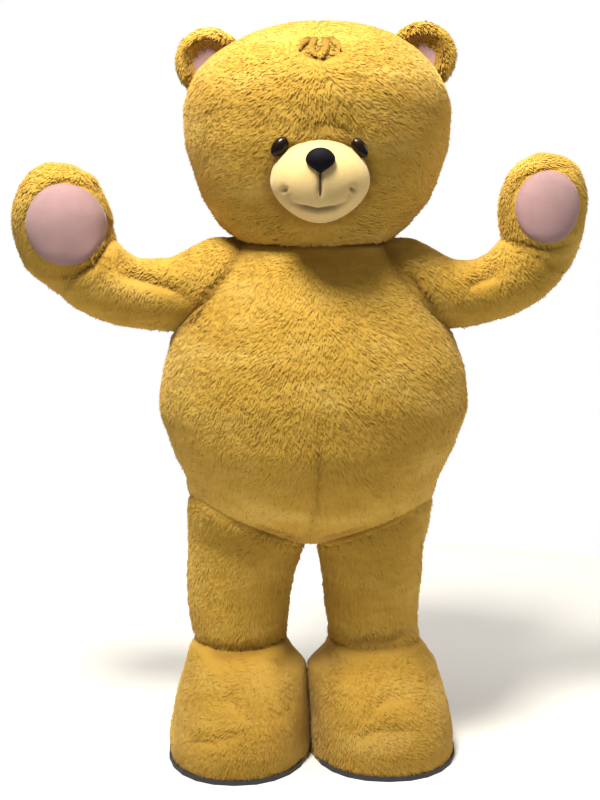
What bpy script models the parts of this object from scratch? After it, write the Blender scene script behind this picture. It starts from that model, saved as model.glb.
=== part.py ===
"""Bear mascot costume, worn: a hollow plush body suit, mitts, boots and a foam head shell.

Metres, +Z up. The bear faces -Y, so the wearer's right is -X. Every form is worked out in a
floor frame, with the soles on z = 0, and hangs under an empty that puts the world's origin
where the wearer's shoulders hold the costume up.

Each piece of cloth is a closed wall: an outer grid of points, the same grid moved in by the
wall's thickness, and rims between the two. Neighbours part by a seam gap.
"""
import math

import bmesh
import bpy
import numpy as np
from mathutils.bvhtree import BVHTree

# Driving sizes
HOLD_HEIGHT = 1.45
PLUSH_WALL = 0.010
HEAD_WALL = 0.020
SEAM_GAP = 0.0003
TRIM_GROWTH = 0.00035
SOLE_THICKNESS = 0.012
SOLE_EDGE = 0.002
ROUND_POWER, TOE_POWER = 2.0, 2.2
WRIST_STATION = 4.75
MERGE_DISTANCE = 0.000001
PATH_STEP = 0.01
SHARP_ANGLE = math.radians(50)

# Rings round each form, and stations along it
BODY_COLUMNS, BODY_STATIONS = 32, 19
HEAD_COLUMNS, HEAD_STATIONS = 32, 17
ARM_COLUMNS, SLEEVE_STATIONS, PAW_STATIONS = 18, 12, 9
LEG_COLUMNS, LEG_STATIONS = 20, 7
FOOT_COLUMNS, FOOT_STATIONS = 24, 9

# Upright forms. Columns: height, half width, reach to the front, reach to the back, centre x
BODY = (
    (0.604, 0.000, 0.000, 0.000, 0.000),
    (0.612, 0.085, 0.080, 0.080, 0.000),
    (0.650, 0.200, 0.185, 0.180, 0.000),
    (0.706, 0.288, 0.265, 0.235, 0.000),
    (0.768, 0.340, 0.315, 0.272, 0.000),
    (0.850, 0.387, 0.350, 0.295, 0.002),
    (0.932, 0.425, 0.366, 0.308, 0.002),
    (1.020, 0.449, 0.366, 0.315, 0.003),
    (1.110, 0.440, 0.354, 0.312, 0.005),
    (1.200, 0.412, 0.332, 0.304, 0.003),
    (1.290, 0.368, 0.300, 0.286, 0.000),
    (1.370, 0.318, 0.262, 0.260, 0.000),
    (1.430, 0.268, 0.232, 0.232, 0.000),
    (1.475, 0.222, 0.200, 0.200, 0.000),
    (1.510, 0.186, 0.172, 0.172, 0.000),
    (1.560, 0.170, 0.158, 0.158, 0.000),
)
HEAD = (
    (1.462, 0.165, 0.155, 0.155, 0.002),
    (1.480, 0.218, 0.205, 0.200, 0.003),
    (1.510, 0.258, 0.244, 0.235, 0.004),
    (1.556, 0.296, 0.280, 0.270, 0.008),
    (1.610, 0.330, 0.310, 0.302, 0.012),
    (1.683, 0.357, 0.334, 0.328, 0.013),
    (1.760, 0.378, 0.348, 0.346, 0.013),
    (1.840, 0.383, 0.350, 0.352, 0.013),
    (1.900, 0.372, 0.340, 0.346, 0.013),
    (1.950, 0.348, 0.318, 0.328, 0.013),
    (1.995, 0.310, 0.282, 0.296, 0.016),
    (2.035, 0.256, 0.232, 0.248, 0.022),
    (2.068, 0.190, 0.170, 0.184, 0.026),
    (2.088, 0.110, 0.100, 0.108, 0.026),
    (2.095, 0.000, 0.000, 0.000, 0.026),
)
LEG_RIGHT = (
    (0.3203, 0.143, 0.145, 0.144, -0.213),
    (0.360, 0.148, 0.149, 0.147, -0.216),
    (0.420, 0.155, 0.153, 0.150, -0.217),
    (0.500, 0.162, 0.160, 0.156, -0.212),
    (0.588, 0.172, 0.168, 0.162, -0.198),
    (0.663, 0.179, 0.172, 0.166, -0.190),
    (0.723, 0.176, 0.170, 0.164, -0.188),
    (0.800, 0.150, 0.150, 0.145, -0.180),
)
LEG_LEFT = (
    (0.3203, 0.142, 0.144, 0.142, 0.184),
    (0.360, 0.139, 0.142, 0.140, 0.182),
    (0.420, 0.143, 0.145, 0.143, 0.177),
    (0.500, 0.151, 0.152, 0.148, 0.178),
    (0.588, 0.159, 0.160, 0.154, 0.174),
    (0.663, 0.172, 0.166, 0.160, 0.175),
    (0.723, 0.172, 0.166, 0.160, 0.176),
    (0.800, 0.150, 0.148, 0.143, 0.172),
)
FOOT_RIGHT = (
    (0.0123, 0.202, 0.356, 0.170, -0.214),
    (0.065, 0.204, 0.360, 0.174, -0.215),
    (0.126, 0.199, 0.342, 0.174, -0.211),
    (0.186, 0.191, 0.302, 0.170, -0.206),
    (0.246, 0.178, 0.244, 0.162, -0.202),
    (0.290, 0.156, 0.184, 0.152, -0.212),
    (0.320, 0.143, 0.145, 0.144, -0.213),
)
FOOT_LEFT = (
    (0.0123, 0.208, 0.331, 0.170, 0.209),
    (0.065, 0.208, 0.333, 0.174, 0.208),
    (0.126, 0.204, 0.321, 0.174, 0.203),
    (0.186, 0.199, 0.292, 0.170, 0.192),
    (0.246, 0.189, 0.240, 0.162, 0.183),
    (0.290, 0.156, 0.184, 0.152, 0.188),
    (0.320, 0.142, 0.144, 0.142, 0.184),
)

# Arms, from inside the shoulder to the tip of the mitt. Columns: the centre's x, y and z, the
# half height in the arm's plane, the half depth
ARM_RIGHT = (
    (-0.100, 0.000, 1.338, 0.158, 0.165),
    (-0.250, 0.000, 1.340, 0.164, 0.158),
    (-0.410, -0.005, 1.330, 0.113, 0.128),
    (-0.505, -0.010, 1.335, 0.106, 0.116),
    (-0.592, -0.020, 1.366, 0.112, 0.116),
    (-0.656, -0.030, 1.425, 0.124, 0.122),
    (-0.694, -0.036, 1.480, 0.146, 0.136),
    (-0.710, -0.040, 1.545, 0.147, 0.142),
    (-0.704, -0.040, 1.610, 0.132, 0.130),
    (-0.690, -0.040, 1.664, 0.098, 0.100),
    (-0.682, -0.040, 1.692, 0.058, 0.060),
    (-0.679, -0.040, 1.703, 0.000, 0.000),
)
ARM_LEFT = (
    (0.100, 0.000, 1.338, 0.158, 0.165),
    (0.250, 0.000, 1.340, 0.162, 0.158),
    (0.410, -0.005, 1.332, 0.106, 0.126),
    (0.497, -0.010, 1.344, 0.098, 0.114),
    (0.584, -0.022, 1.390, 0.105, 0.112),
    (0.640, -0.034, 1.466, 0.114, 0.114),
    (0.649, -0.040, 1.520, 0.124, 0.122),
    (0.652, -0.042, 1.580, 0.129, 0.126),
    (0.665, -0.042, 1.636, 0.122, 0.120),
    (0.683, -0.042, 1.690, 0.090, 0.092),
    (0.692, -0.042, 1.719, 0.052, 0.054),
    (0.695, -0.042, 1.730, 0.000, 0.000),
)

# Ears: a dished disc turned round its own Y axis. Columns: radius, y, from the dish's middle
# round the rim to the middle of the back
EAR_SECTION = (
    (0.000, -0.010),
    (0.024, -0.012),
    (0.043, -0.018),
    (0.056, -0.028),
    (0.072, -0.038),
    (0.090, -0.032),
    (0.102, -0.006),
    (0.096, 0.018),
    (0.066, 0.034),
    (0.000, 0.040),
)
EAR_COLUMNS = 18
EAR_PLACES = (("right", -0.290, 1.984, -8.0), ("left", 0.308, 2.000, 8.0))
EAR_PLANE = 0.000
INNER_EAR_RINGS = 3
INNER_EAR_THICKNESS = 0.004

# Face. The domes are half sizes across, deep and up
MUZZLE_PLACE = (0.018, -0.292, 1.637)
MUZZLE_HALF = (0.131, 0.114, 0.111)
NOSE_PLACE = (0.017, -0.400, 1.684)
NOSE_HALF = (0.040, 0.026, 0.034)
NOSE_TAPER, NOSE_TAPER_POWER = 0.62, 1.5
EYE_PLACES = (("right", -0.088), ("left", 0.124))
EYE_HEIGHT = 1.722
EYE_HALF = (0.024, 0.016, 0.027)
EYE_SINK = 0.004
DOME_STATIONS, DOME_COLUMNS = 9, 20
SMALL_DOME_STATIONS, SMALL_DOME_COLUMNS = 7, 12

# Palm pads. Columns: side, centre x and z, half width, half height
PALM_PLACES = (
    ("right", -0.684, 1.523, 0.101, 0.106),
    ("left", 0.642, 1.574, 0.085, 0.096),
)
PALM_THICKNESS = 0.010
PALM_EDGE = 0.006
PALM_DEPTH = 0.030
PALM_RINGS, PALM_SPOKES = 5, 20
RAY_START = -1.0


def clear_scene():
    """Empty the scene of the objects that a new file holds."""
    for thing in list(bpy.data.objects):
        bpy.data.objects.remove(thing)


def plain_material(name, colour, roughness):
    """One Principled material in a plain colour."""
    material = bpy.data.materials.new(name)
    material.use_nodes = True
    shader = material.node_tree.nodes["Principled BSDF"]
    shader.inputs["Base Color"].default_value = (*colour, 1.0)
    shader.inputs["Roughness"].default_value = roughness
    shader.inputs["Metallic"].default_value = 0.0
    material.diffuse_color = (*colour, 1.0)
    return material


def smooth_columns(rows, at):
    """Read a table between its rows, by a cubic curve through each column with no overshoot.

    A row's slope is the harmonic mean of the slopes on its two sides, or zero where the
    column turns there.
    """
    table = np.array(rows)
    slope = np.diff(table, axis=0)
    tangent = np.zeros_like(table)
    product = slope[:-1] * slope[1:]
    total = slope[:-1] + slope[1:]
    rising = product > 0
    tangent[1:-1][rising] = 2.0 * product[rising] / total[rising]
    tangent[0] = slope[0]
    tangent[-1] = slope[-1]
    low = np.clip(np.floor(at).astype(int), 0, len(table) - 2)
    part = (at - low)[:, None]
    start = table[low]
    end = table[low + 1]
    leave = tangent[low]
    arrive = tangent[low + 1]
    rise = end - start
    square = part**2
    cube = part**3
    return (
        start
        + leave * part
        + (3.0 * rise - 2.0 * leave - arrive) * square
        + (leave + arrive - 2.0 * rise) * cube
    )


def upright_form(rows, stations, columns, power):
    """Level rings up a form, each a superellipse between its front and back reach."""
    at = np.linspace(0.0, len(rows) - 1.0, stations)
    height, half_width, front, back, centre = smooth_columns(rows, at).T[:, :, None]
    angle = np.arange(columns) * 2.0 * math.pi / columns
    across = np.sign(np.cos(angle)) * np.abs(np.cos(angle)) ** (2.0 / power)
    along = np.sign(np.sin(angle)) * np.abs(np.sin(angle)) ** (2.0 / power)
    x = centre + half_width * across
    y = (back - front) / 2.0 + (back + front) / 2.0 * along
    return np.stack([x, y, height + 0.0 * x], axis=2)


def bent_form(rows, at, columns):
    """Rings square to a bent centre line, each an ellipse in the arm's plane and in depth."""
    section = smooth_columns(rows, at)
    last = len(rows) - 1.0
    ahead = smooth_columns(rows, np.clip(at + PATH_STEP, 0.0, last))[:, :3]
    behind = smooth_columns(rows, np.clip(at - PATH_STEP, 0.0, last))[:, :3]
    run = ahead - behind
    run /= np.linalg.norm(run, axis=1, keepdims=True)
    depth = np.array([0.0, 1.0, 0.0]) - run[:, 1:2] * run
    depth /= np.linalg.norm(depth, axis=1, keepdims=True)
    rise = np.cross(depth, run)
    angle = np.arange(columns) * 2.0 * math.pi / columns
    ring = (
        np.cos(angle)[None, :, None] * (section[:, 3:4] * rise)[:, None, :]
        + np.sin(angle)[None, :, None] * (section[:, 4:5] * depth)[:, None, :]
    )
    return section[:, None, :3] + ring, run


def turned_form(section, columns):
    """A section of radius and y, turned round the Y axis."""
    radius, along = np.array(section).T[:, :, None]
    angle = np.arange(columns) * 2.0 * math.pi / columns
    return np.stack(
        [radius * np.cos(angle), along + 0.0 * angle, -radius * np.sin(angle)], axis=2
    )


def dome_form(half, stations, columns):
    """A whole ellipsoid, in rings round its Y axis from the front to the back."""
    turn = np.linspace(0.0, math.pi, stations)
    section = np.stack([np.sin(turn), -np.cos(turn)], axis=1)
    return turned_form(section, columns) * np.array(half)


def is_point(row):
    """Whether a ring has closed to a point."""
    return np.ptp(row, axis=0).max() < SEAM_GAP * 2.0


def grid_normals(grid, first, last):
    """Unit normals of a wrapped grid, with a given direction where a ring closes to a point."""
    around = np.roll(grid, -1, axis=1) - np.roll(grid, 1, axis=1)
    along = np.gradient(grid, axis=0)
    normal = np.cross(around, along)
    length = np.linalg.norm(normal, axis=2, keepdims=True)
    normal = normal / np.maximum(length, MERGE_DISTANCE**2)
    for row, direction in ((0, first), (-1, last)):
        if is_point(grid[row]):
            normal[row] = direction
    return normal


def moved(grid, distance, first=(0.0, 0.0, -1.0), last=(0.0, 0.0, 1.0)):
    """The grid moved along its normals, out where the distance is positive."""
    return grid + distance * grid_normals(grid, first, last)


def grid_faces(rows, columns, wrapped, offset, outward):
    """Two triangles for each cell of a grid whose points are numbered row by row."""
    faces = []
    for row in range(rows - 1):
        for column in range(columns if wrapped else columns - 1):
            beside = (column + 1) % columns
            a = offset + row * columns + column
            b = offset + row * columns + beside
            c = offset + (row + 1) * columns + beside
            d = offset + (row + 1) * columns + column
            pair = [(a, b, c), (a, c, d)]
            faces += pair if outward else [face[::-1] for face in pair]
    return faces


def strip_faces(outer, inner):
    """Two triangles for each step of a rim between two rows of point numbers."""
    faces = []
    for step in range(len(outer) - 1):
        faces.append((outer[step], inner[step], inner[step + 1]))
        faces.append((outer[step], inner[step + 1], outer[step + 1]))
    return faces


def mesh_object(name, points, faces, material, place=(0.0, 0.0, 0.0), tilt=0.0):
    """A mesh object under the hold point, with coinciding points merged."""
    mesh = bpy.data.meshes.new(name)
    mesh.from_pydata(points.tolist(), [], faces)
    edit = bmesh.new()
    edit.from_mesh(mesh)
    bmesh.ops.remove_doubles(edit, verts=edit.verts, dist=MERGE_DISTANCE)
    edit.to_mesh(mesh)
    edit.free()
    mesh.shade_smooth()
    mesh.set_sharp_from_angle(angle=SHARP_ANGLE)
    if material is not None:
        mesh.materials.append(material)
    thing = bpy.data.objects.new(name, mesh)
    thing.location = place
    thing.rotation_euler = (0.0, math.radians(tilt), 0.0)
    thing.parent = bpy.data.objects["hold_point"]
    bpy.context.collection.objects.link(thing)
    return thing


def wall(name, outer, inner, wrapped, material):
    """A closed wall between an outer and an inner grid, with a rim at each open edge."""
    rows, columns = outer.shape[:2]
    shift = rows * columns
    faces = grid_faces(rows, columns, wrapped, 0, True)
    faces += grid_faces(rows, columns, wrapped, shift, False)
    ring = list(range(columns)) + ([0] if wrapped else [])
    top = [(rows - 1) * columns + column for column in ring]
    if not is_point(outer[0]):
        faces += strip_faces(ring, [point + shift for point in ring])
    if not is_point(outer[-1]):
        faces += strip_faces([point + shift for point in top], top)
    if not wrapped:
        first = [row * columns for row in range(rows)]
        last = [point + columns - 1 for point in first]
        faces += strip_faces([point + shift for point in first], first)
        faces += strip_faces(last, [point + shift for point in last])
    points = np.concatenate([outer.reshape(-1, 3), inner.reshape(-1, 3)])
    return mesh_object(name, points, faces, material)


def skins(rows, stations, columns, thickness, power=ROUND_POWER):
    """The outer and inner grids of an upright wall, each open edge level."""
    outer = upright_form(rows, stations, columns, power)
    inner = moved(outer, -thickness)
    for edge in (0, -1):
        if not is_point(outer[edge]):
            inner[edge, :, 2] = outer[edge, :, 2]
    return outer, inner


def solid(name, grid, material, place=(0.0, 0.0, 0.0), tilt=0.0):
    """A filled solid of a wrapped grid, its open ends closed flat round their middle."""
    rows, columns = grid.shape[:2]
    faces = grid_faces(rows, columns, True, 0, True)
    points = [grid.reshape(-1, 3)]
    for row, flip in ((0, True), (rows - 1, False)):
        if not is_point(grid[row]):
            middle = rows * columns + len(points) - 1
            points.append(grid[row].mean(axis=0)[None])
            for column in range(columns):
                pair = (row * columns + column, row * columns + (column + 1) % columns)
                faces.append((middle, *(pair[::-1] if flip else pair)))
    return mesh_object(name, np.concatenate(points), faces, material, place, tilt)


def cutter(name, grid, place=(0.0, 0.0, 0.0), tilt=0.0):
    """A hidden solid that only cuts others."""
    thing = solid(name, grid, None, place, tilt)
    thing.hide_render = True
    thing.display_type = "WIRE"
    return thing


def trim(piece, *tools):
    """Cut each tool's volume out of the piece."""
    for tool in tools:
        cut = piece.modifiers.new("trim by " + tool.name, "BOOLEAN")
        cut.operation = "DIFFERENCE"
        cut.solver = "EXACT"
        cut.object = tool


def part_at_seam(grid, axis, side, middle):
    """Keep a panel half a seam gap clear of the form's middle, on its own side."""
    away = np.maximum((grid[..., axis] - middle[..., axis]) * side, SEAM_GAP / 2.0)
    result = grid.copy()
    result[..., axis] = middle[..., axis] + away * side
    return result


def panel(name, outer, inner, first, count, sides, material):
    """Some columns of a form as a wall of their own, parted from its neighbours."""
    columns = [(first + step) % outer.shape[1] for step in range(count + 1)]
    middle = outer.mean(axis=1, keepdims=True)
    skins = [outer[:, columns], inner[:, columns]]
    for axis, side in sides:
        skins = [part_at_seam(skin, axis, side, middle) for skin in skins]
    return wall(name, skins[0], skins[1], False, material)


def build_body(material):
    """Four body panels, and the volume that the sleeves, legs and head are trimmed by."""
    outer, inner = skins(BODY, BODY_STATIONS, BODY_COLUMNS, PLUSH_WALL)
    quarter = BODY_COLUMNS // 4
    panels = {}
    quarters = (
        ("back_left", 1, 1),
        ("back_right", -1, 1),
        ("front_right", -1, -1),
        ("front_left", 1, -1),
    )
    for index, (place, across, along) in enumerate(quarters):
        sides = ((0, across), (1, along))
        first = index * quarter
        panels[place] = panel("body_" + place, outer, inner, first, quarter, sides, material)
    return panels, cutter("body_volume", moved(outer, TRIM_GROWTH))


def build_legs(material, body, body_volume):
    """Leg tubes from the groin seam to the ankle, and the leg holes in the body."""
    for side, rows in (("right", LEG_RIGHT), ("left", LEG_LEFT)):
        outer, inner = skins(rows, LEG_STATIONS, LEG_COLUMNS, PLUSH_WALL)
        leg = wall("leg_" + side, outer, inner, True, material)
        trim(leg, body_volume)
        hole = cutter("leg_hole_" + side, inner)
        trim(body["front_" + side], hole)
        trim(body["back_" + side], hole)


def build_feet(material, sole_material):
    """Boot uppers on their soles, squarer round the toes than at the ankle."""
    squareness = np.linspace(TOE_POWER, ROUND_POWER, FOOT_STATIONS)[:, None]
    for side, rows in (("right", FOOT_RIGHT), ("left", FOOT_LEFT)):
        outer, inner = skins(rows, FOOT_STATIONS, FOOT_COLUMNS, PLUSH_WALL, squareness)
        wall("foot_" + side, outer, inner, True, material)
        tread = moved(outer, SOLE_EDGE)[0]
        tread[:, 2] = 0.0
        top = tread.copy()
        top[:, 2] = SOLE_THICKNESS
        solid("sole_" + side, np.stack([tread, top]), sole_material)


def build_arms(material, pad_material, body, body_volume):
    """Sleeves, mitts and palm pads, and the armholes in the body."""
    volumes = []
    for side, rows in (("right", ARM_RIGHT), ("left", ARM_LEFT)):
        sleeve_at = np.linspace(0.0, WRIST_STATION, SLEEVE_STATIONS)
        outer, run = bent_form(rows, sleeve_at, ARM_COLUMNS)
        inner = moved(outer, -PLUSH_WALL)
        inner[-1] -= ((inner[-1] - outer[-1]) @ run[-1])[:, None] * run[-1]
        sleeve = wall("sleeve_" + side, outer, inner, True, material)
        trim(sleeve, body_volume)
        armhole = cutter("armhole_" + side, inner)
        trim(body["front_" + side], armhole)
        trim(body["back_" + side], armhole)
        volumes.append(cutter("sleeve_volume_" + side, moved(outer, TRIM_GROWTH)))
        paw_at = np.linspace(WRIST_STATION, len(rows) - 1.0, PAW_STATIONS)
        outer, run = bent_form(rows, paw_at, ARM_COLUMNS)
        outer[0] += SEAM_GAP * run[0]
        inner = moved(outer, -PLUSH_WALL, last=run[-1])
        inner[0] -= ((inner[0] - outer[0]) @ run[0])[:, None] * run[0]
        wall("paw_" + side, outer, inner, True, material)
        volume = cutter("paw_volume_" + side, moved(outer, TRIM_GROWTH, last=run[-1]))
        build_palm(side, volume, pad_material)
    return volumes


def front_of(thing):
    """A function that gives the y of a solid's front at an x and a height."""
    mesh = thing.data
    tree = BVHTree.FromPolygons(
        [point.co for point in mesh.vertices], [tuple(face.vertices) for face in mesh.polygons]
    )
    return lambda x, z: tree.ray_cast((x, RAY_START, z), (0.0, 1.0, 0.0))[0].y


def build_palm(side, paw_volume, material):
    """A pad on the mitt's front: an oval of the mitt's own surface, moved out."""
    _, centre_x, centre_z, half_width, half_height = next(row for row in PALM_PLACES if row[0] == side)
    surface = front_of(paw_volume)
    front = np.zeros((PALM_RINGS + 1, PALM_SPOKES, 3))
    back = np.zeros_like(front)
    for ring in range(PALM_RINGS + 1):
        share = ring / PALM_RINGS
        swell = PALM_EDGE + (PALM_THICKNESS - PALM_EDGE) * math.sqrt(1.0 - share**2)
        for spoke in range(PALM_SPOKES):
            turn = 2.0 * math.pi * spoke / PALM_SPOKES
            x = centre_x + share * half_width * math.cos(turn)
            z = centre_z - share * half_height * math.sin(turn)
            y = surface(x, z)
            front[ring, spoke] = (x, y - swell, z)
            back[ring, spoke] = (x, y + PALM_DEPTH, z)
    pad = solid("palm_pad_" + side, np.concatenate([front, back[::-1]]), material)
    trim(pad, paw_volume)


def build_head(material, body_volume, sleeve_volumes):
    """The head shell in a front and a back half, resting on the shoulders."""
    outer, inner = skins(HEAD, HEAD_STATIONS, HEAD_COLUMNS, HEAD_WALL)
    half = HEAD_COLUMNS // 2
    for name, first, side in (("head_back", 0, 1), ("head_front", half, -1)):
        shell = panel(name, outer, inner, first, half, ((1, side),), material)
        trim(shell, body_volume, *sleeve_volumes)
    return cutter("head_volume", moved(outer, TRIM_GROWTH))


def build_ears(material, pad_material, head_volume):
    """Dished ears that grow out of the head's sides, with a lining in each dish."""
    grid = turned_form(EAR_SECTION, EAR_COLUMNS)
    front = (0.0, -1.0, 0.0)
    back = (0.0, 1.0, 0.0)
    dish = moved(grid, SEAM_GAP, front, back)[: INNER_EAR_RINGS + 1]
    face = moved(grid, SEAM_GAP + INNER_EAR_THICKNESS, front, back)[: INNER_EAR_RINGS + 1]
    lining = np.concatenate([face, dish[::-1]])
    for side, x, z, tilt in EAR_PLACES:
        place = (x, EAR_PLANE, z)
        trim(solid("ear_" + side, grid, material, place, tilt), head_volume)
        trim(solid("inner_ear_" + side, lining, pad_material, place, tilt), head_volume)


def build_face(muzzle_material, nose_material, eye_material, head_volume):
    """Muzzle on the head, nose on the muzzle, eyes at the muzzle's upper edge."""
    front = (0.0, -1.0, 0.0)
    back = (0.0, 1.0, 0.0)
    dome = dome_form(MUZZLE_HALF, DOME_STATIONS, DOME_COLUMNS)
    muzzle = solid("muzzle", dome, muzzle_material, MUZZLE_PLACE)
    trim(muzzle, head_volume)
    muzzle_volume = cutter("muzzle_volume", moved(dome, TRIM_GROWTH, front, back), MUZZLE_PLACE)
    ball = dome_form(NOSE_HALF, SMALL_DOME_STATIONS, SMALL_DOME_COLUMNS)
    low = np.clip(-ball[..., 2] / NOSE_HALF[2], 0.0, 1.0)
    ball[..., 0] *= 1.0 - NOSE_TAPER * low**NOSE_TAPER_POWER
    trim(solid("nose", ball, nose_material, NOSE_PLACE), muzzle_volume)
    eyeball = dome_form(EYE_HALF, SMALL_DOME_STATIONS, SMALL_DOME_COLUMNS)
    surface = front_of(head_volume)
    for side, x in EYE_PLACES:
        place = (x, surface(x, EYE_HEIGHT) + EYE_SINK, EYE_HEIGHT)
        trim(solid("eye_" + side, eyeball, eye_material, place), head_volume, muzzle_volume)


def build():
    """Make the whole costume."""
    clear_scene()
    hold_point = bpy.data.objects.new("hold_point", None)
    hold_point.location = (0.0, 0.0, -HOLD_HEIGHT)
    bpy.context.collection.objects.link(hold_point)
    plush = plain_material("golden plush", (0.60, 0.38, 0.12), 0.9)
    pink = plain_material("pink pile", (0.56, 0.36, 0.38), 0.9)
    cream = plain_material("cream pile", (0.87, 0.74, 0.46), 0.9)
    satin = plain_material("black satin", (0.01, 0.01, 0.015), 0.35)
    gloss = plain_material("dark gloss", (0.02, 0.01, 0.008), 0.1)
    rubber = plain_material("dark sole", (0.03, 0.03, 0.05), 0.7)
    body, body_volume = build_body(plush)
    build_legs(plush, body, body_volume)
    build_feet(plush, rubber)
    sleeve_volumes = build_arms(plush, pink, body, body_volume)
    head_volume = build_head(plush, body_volume, sleeve_volumes)
    build_ears(plush, pink, head_volume)
    build_face(cream, satin, gloss, head_volume)


build()
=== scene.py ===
# %% [markdown]
# A bear mascot costume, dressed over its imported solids
#
# The costume stands as it is worn: a foam head, a plush suit with raised arms, mitts and
# boots. The solids already hold each piece of cloth as a hollow wall. This script lays a
# finer skin on each wall, grows pile on it and gives every surface a finish. The frame's
# origin is where the wearer's shoulders carry the suit, so the floor lies below zero.

# %% Load the frame and keep its box
import math

import bmesh
import bpy
import numpy as np
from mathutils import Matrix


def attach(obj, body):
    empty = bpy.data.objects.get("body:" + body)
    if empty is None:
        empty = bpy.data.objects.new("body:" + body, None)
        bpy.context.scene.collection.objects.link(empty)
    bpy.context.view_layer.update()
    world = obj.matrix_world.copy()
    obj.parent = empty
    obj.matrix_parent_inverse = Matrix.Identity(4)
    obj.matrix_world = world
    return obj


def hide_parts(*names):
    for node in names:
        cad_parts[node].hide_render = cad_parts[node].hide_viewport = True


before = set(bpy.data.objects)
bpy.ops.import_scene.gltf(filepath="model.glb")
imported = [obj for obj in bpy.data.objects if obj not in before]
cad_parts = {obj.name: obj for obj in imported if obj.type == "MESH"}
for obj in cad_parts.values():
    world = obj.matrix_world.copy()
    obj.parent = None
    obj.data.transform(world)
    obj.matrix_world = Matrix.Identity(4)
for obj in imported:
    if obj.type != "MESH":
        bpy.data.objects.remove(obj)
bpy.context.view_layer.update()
HOLD_HEIGHT = 1.45
FLOOR = -HOLD_HEIGHT

# %% [markdown]
# Camera, floor and light
#
# The photograph was taken from about 3.6 m in front, from the height of the wearer's shoulders
# and looking slightly down. The costume stood in soft warm light from high up, stronger at the
# upper left. A sky texture or a ring of lamps could light it too. Four soft panels are used,
# because each can be set against one side of the costume: the key high in front, one above,
# one at the right and one behind. The surround looks white to the camera and gives only weak
# light, so that the folds keep their shade. The floor is a plain pale disc.

# %% Camera
CAMERA_DISTANCE = 3.6
CAMERA_HEIGHT = 1.45
CAMERA_DROP = math.radians(6.8)
CAMERA_SIDE = -0.035
FOCAL_IN_PIXELS = 1240.0
LONG_SIDE_PIXELS = 800.0
SENSOR = 36.0

camera_data = bpy.data.cameras.new("studio_camera")
camera_data.sensor_width = SENSOR
camera_data.lens = FOCAL_IN_PIXELS * SENSOR / LONG_SIDE_PIXELS
camera = bpy.data.objects.new("studio_camera", camera_data)
camera.location = (CAMERA_SIDE, -CAMERA_DISTANCE, FLOOR + CAMERA_HEIGHT)
camera.rotation_euler = (math.pi / 2.0 - CAMERA_DROP, 0.0, 0.0)
bpy.context.scene.collection.objects.link(camera)
bpy.context.scene.camera = camera
bpy.context.scene.view_settings.view_transform = "Standard"
print("lens", round(camera_data.lens, 1), "mm")

# %% Light
LIGHTS = (
    # name, place, aim, size, power, colour
    ("key_panel", (-0.95, -1.85, 3.7), (-0.1, 0.0, 0.1), 1.2, 445.0, (1.0, 0.95, 0.82)),
    ("top_panel", (0.6, -0.5, 3.2), (0.0, 0.0, 0.0), 1.5, 40.0, (1.0, 0.95, 0.82)),
    ("right_panel", (3.2, 0.2, 1.4), (0.0, 0.0, 0.0), 1.8, 40.0, (1.0, 0.93, 0.80)),
    ("back_panel", (-0.6, 3.2, 2.0), (0.0, 0.0, 0.1), 2.2, 90.0, (1.0, 0.96, 0.90)),
)


def add_light(name, place, aim, size, power, colour):
    """A square soft light that faces its aim."""
    data = bpy.data.lights.new(name, "AREA")
    data.size = size
    data.energy = power
    data.color = colour
    lamp = bpy.data.objects.new(name, data)
    lamp.location = place
    run = np.array(aim) - np.array(place)
    lamp.rotation_euler = (
        math.acos(-run[2] / np.linalg.norm(run)),
        0.0,
        math.atan2(run[1], run[0]) - math.pi / 2.0,
    )
    bpy.context.scene.collection.objects.link(lamp)


for row in LIGHTS:
    add_light(*row)
SURROUND_LIGHT = 0.18
world = bpy.data.worlds.new("pale_surround")
world.use_nodes = True
world.node_tree.nodes["Background"].inputs["Color"].default_value = (1.0, 1.0, 1.0, 1.0)
seen = world.node_tree.nodes.new("ShaderNodeLightPath").outputs["Is Camera Ray"]
strength = world.node_tree.nodes.new("ShaderNodeMapRange")
strength.inputs["To Min"].default_value = SURROUND_LIGHT
strength.inputs["To Max"].default_value = 1.0
world.node_tree.links.new(seen, strength.inputs["Value"])
background = world.node_tree.nodes["Background"]
world.node_tree.links.new(strength.outputs["Result"], background.inputs["Strength"])
bpy.context.scene.world = world
print("lights", [row[0] for row in LIGHTS])

# %% [markdown]
# Shader maths as plain expressions
#
# A finish is a small program on numbers that vary over the surface. Wiring Math nodes by hand
# hides that program. A class that wraps a socket and overloads the operators lets it be
# written as ordinary Python, and one method makes every other node.


# %% A wrapped socket and a recipe for a finish
class Number:
    """A shader number that adds Math nodes when it is used in an expression."""

    def __init__(self, recipe, socket):
        self.recipe = recipe
        self.socket = socket

    def maths(self, operation, first, second):
        node = self.recipe.add("ShaderNodeMath", {"operation": operation}, {0: first, 1: second})
        return Number(self.recipe, node.outputs[0])

    def __add__(self, other):
        return self.maths("ADD", self, other)

    __radd__ = __add__

    def __sub__(self, other):
        return self.maths("SUBTRACT", self, other)

    def __rsub__(self, other):
        return self.maths("SUBTRACT", other, self)

    def __mul__(self, other):
        return self.maths("MULTIPLY", self, other)

    __rmul__ = __mul__

    def held(self):
        """The number kept between 0 and 1."""
        node = self.recipe.add("ShaderNodeClamp", {}, {"Value": self})
        return Number(self.recipe, node.outputs[0])


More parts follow.
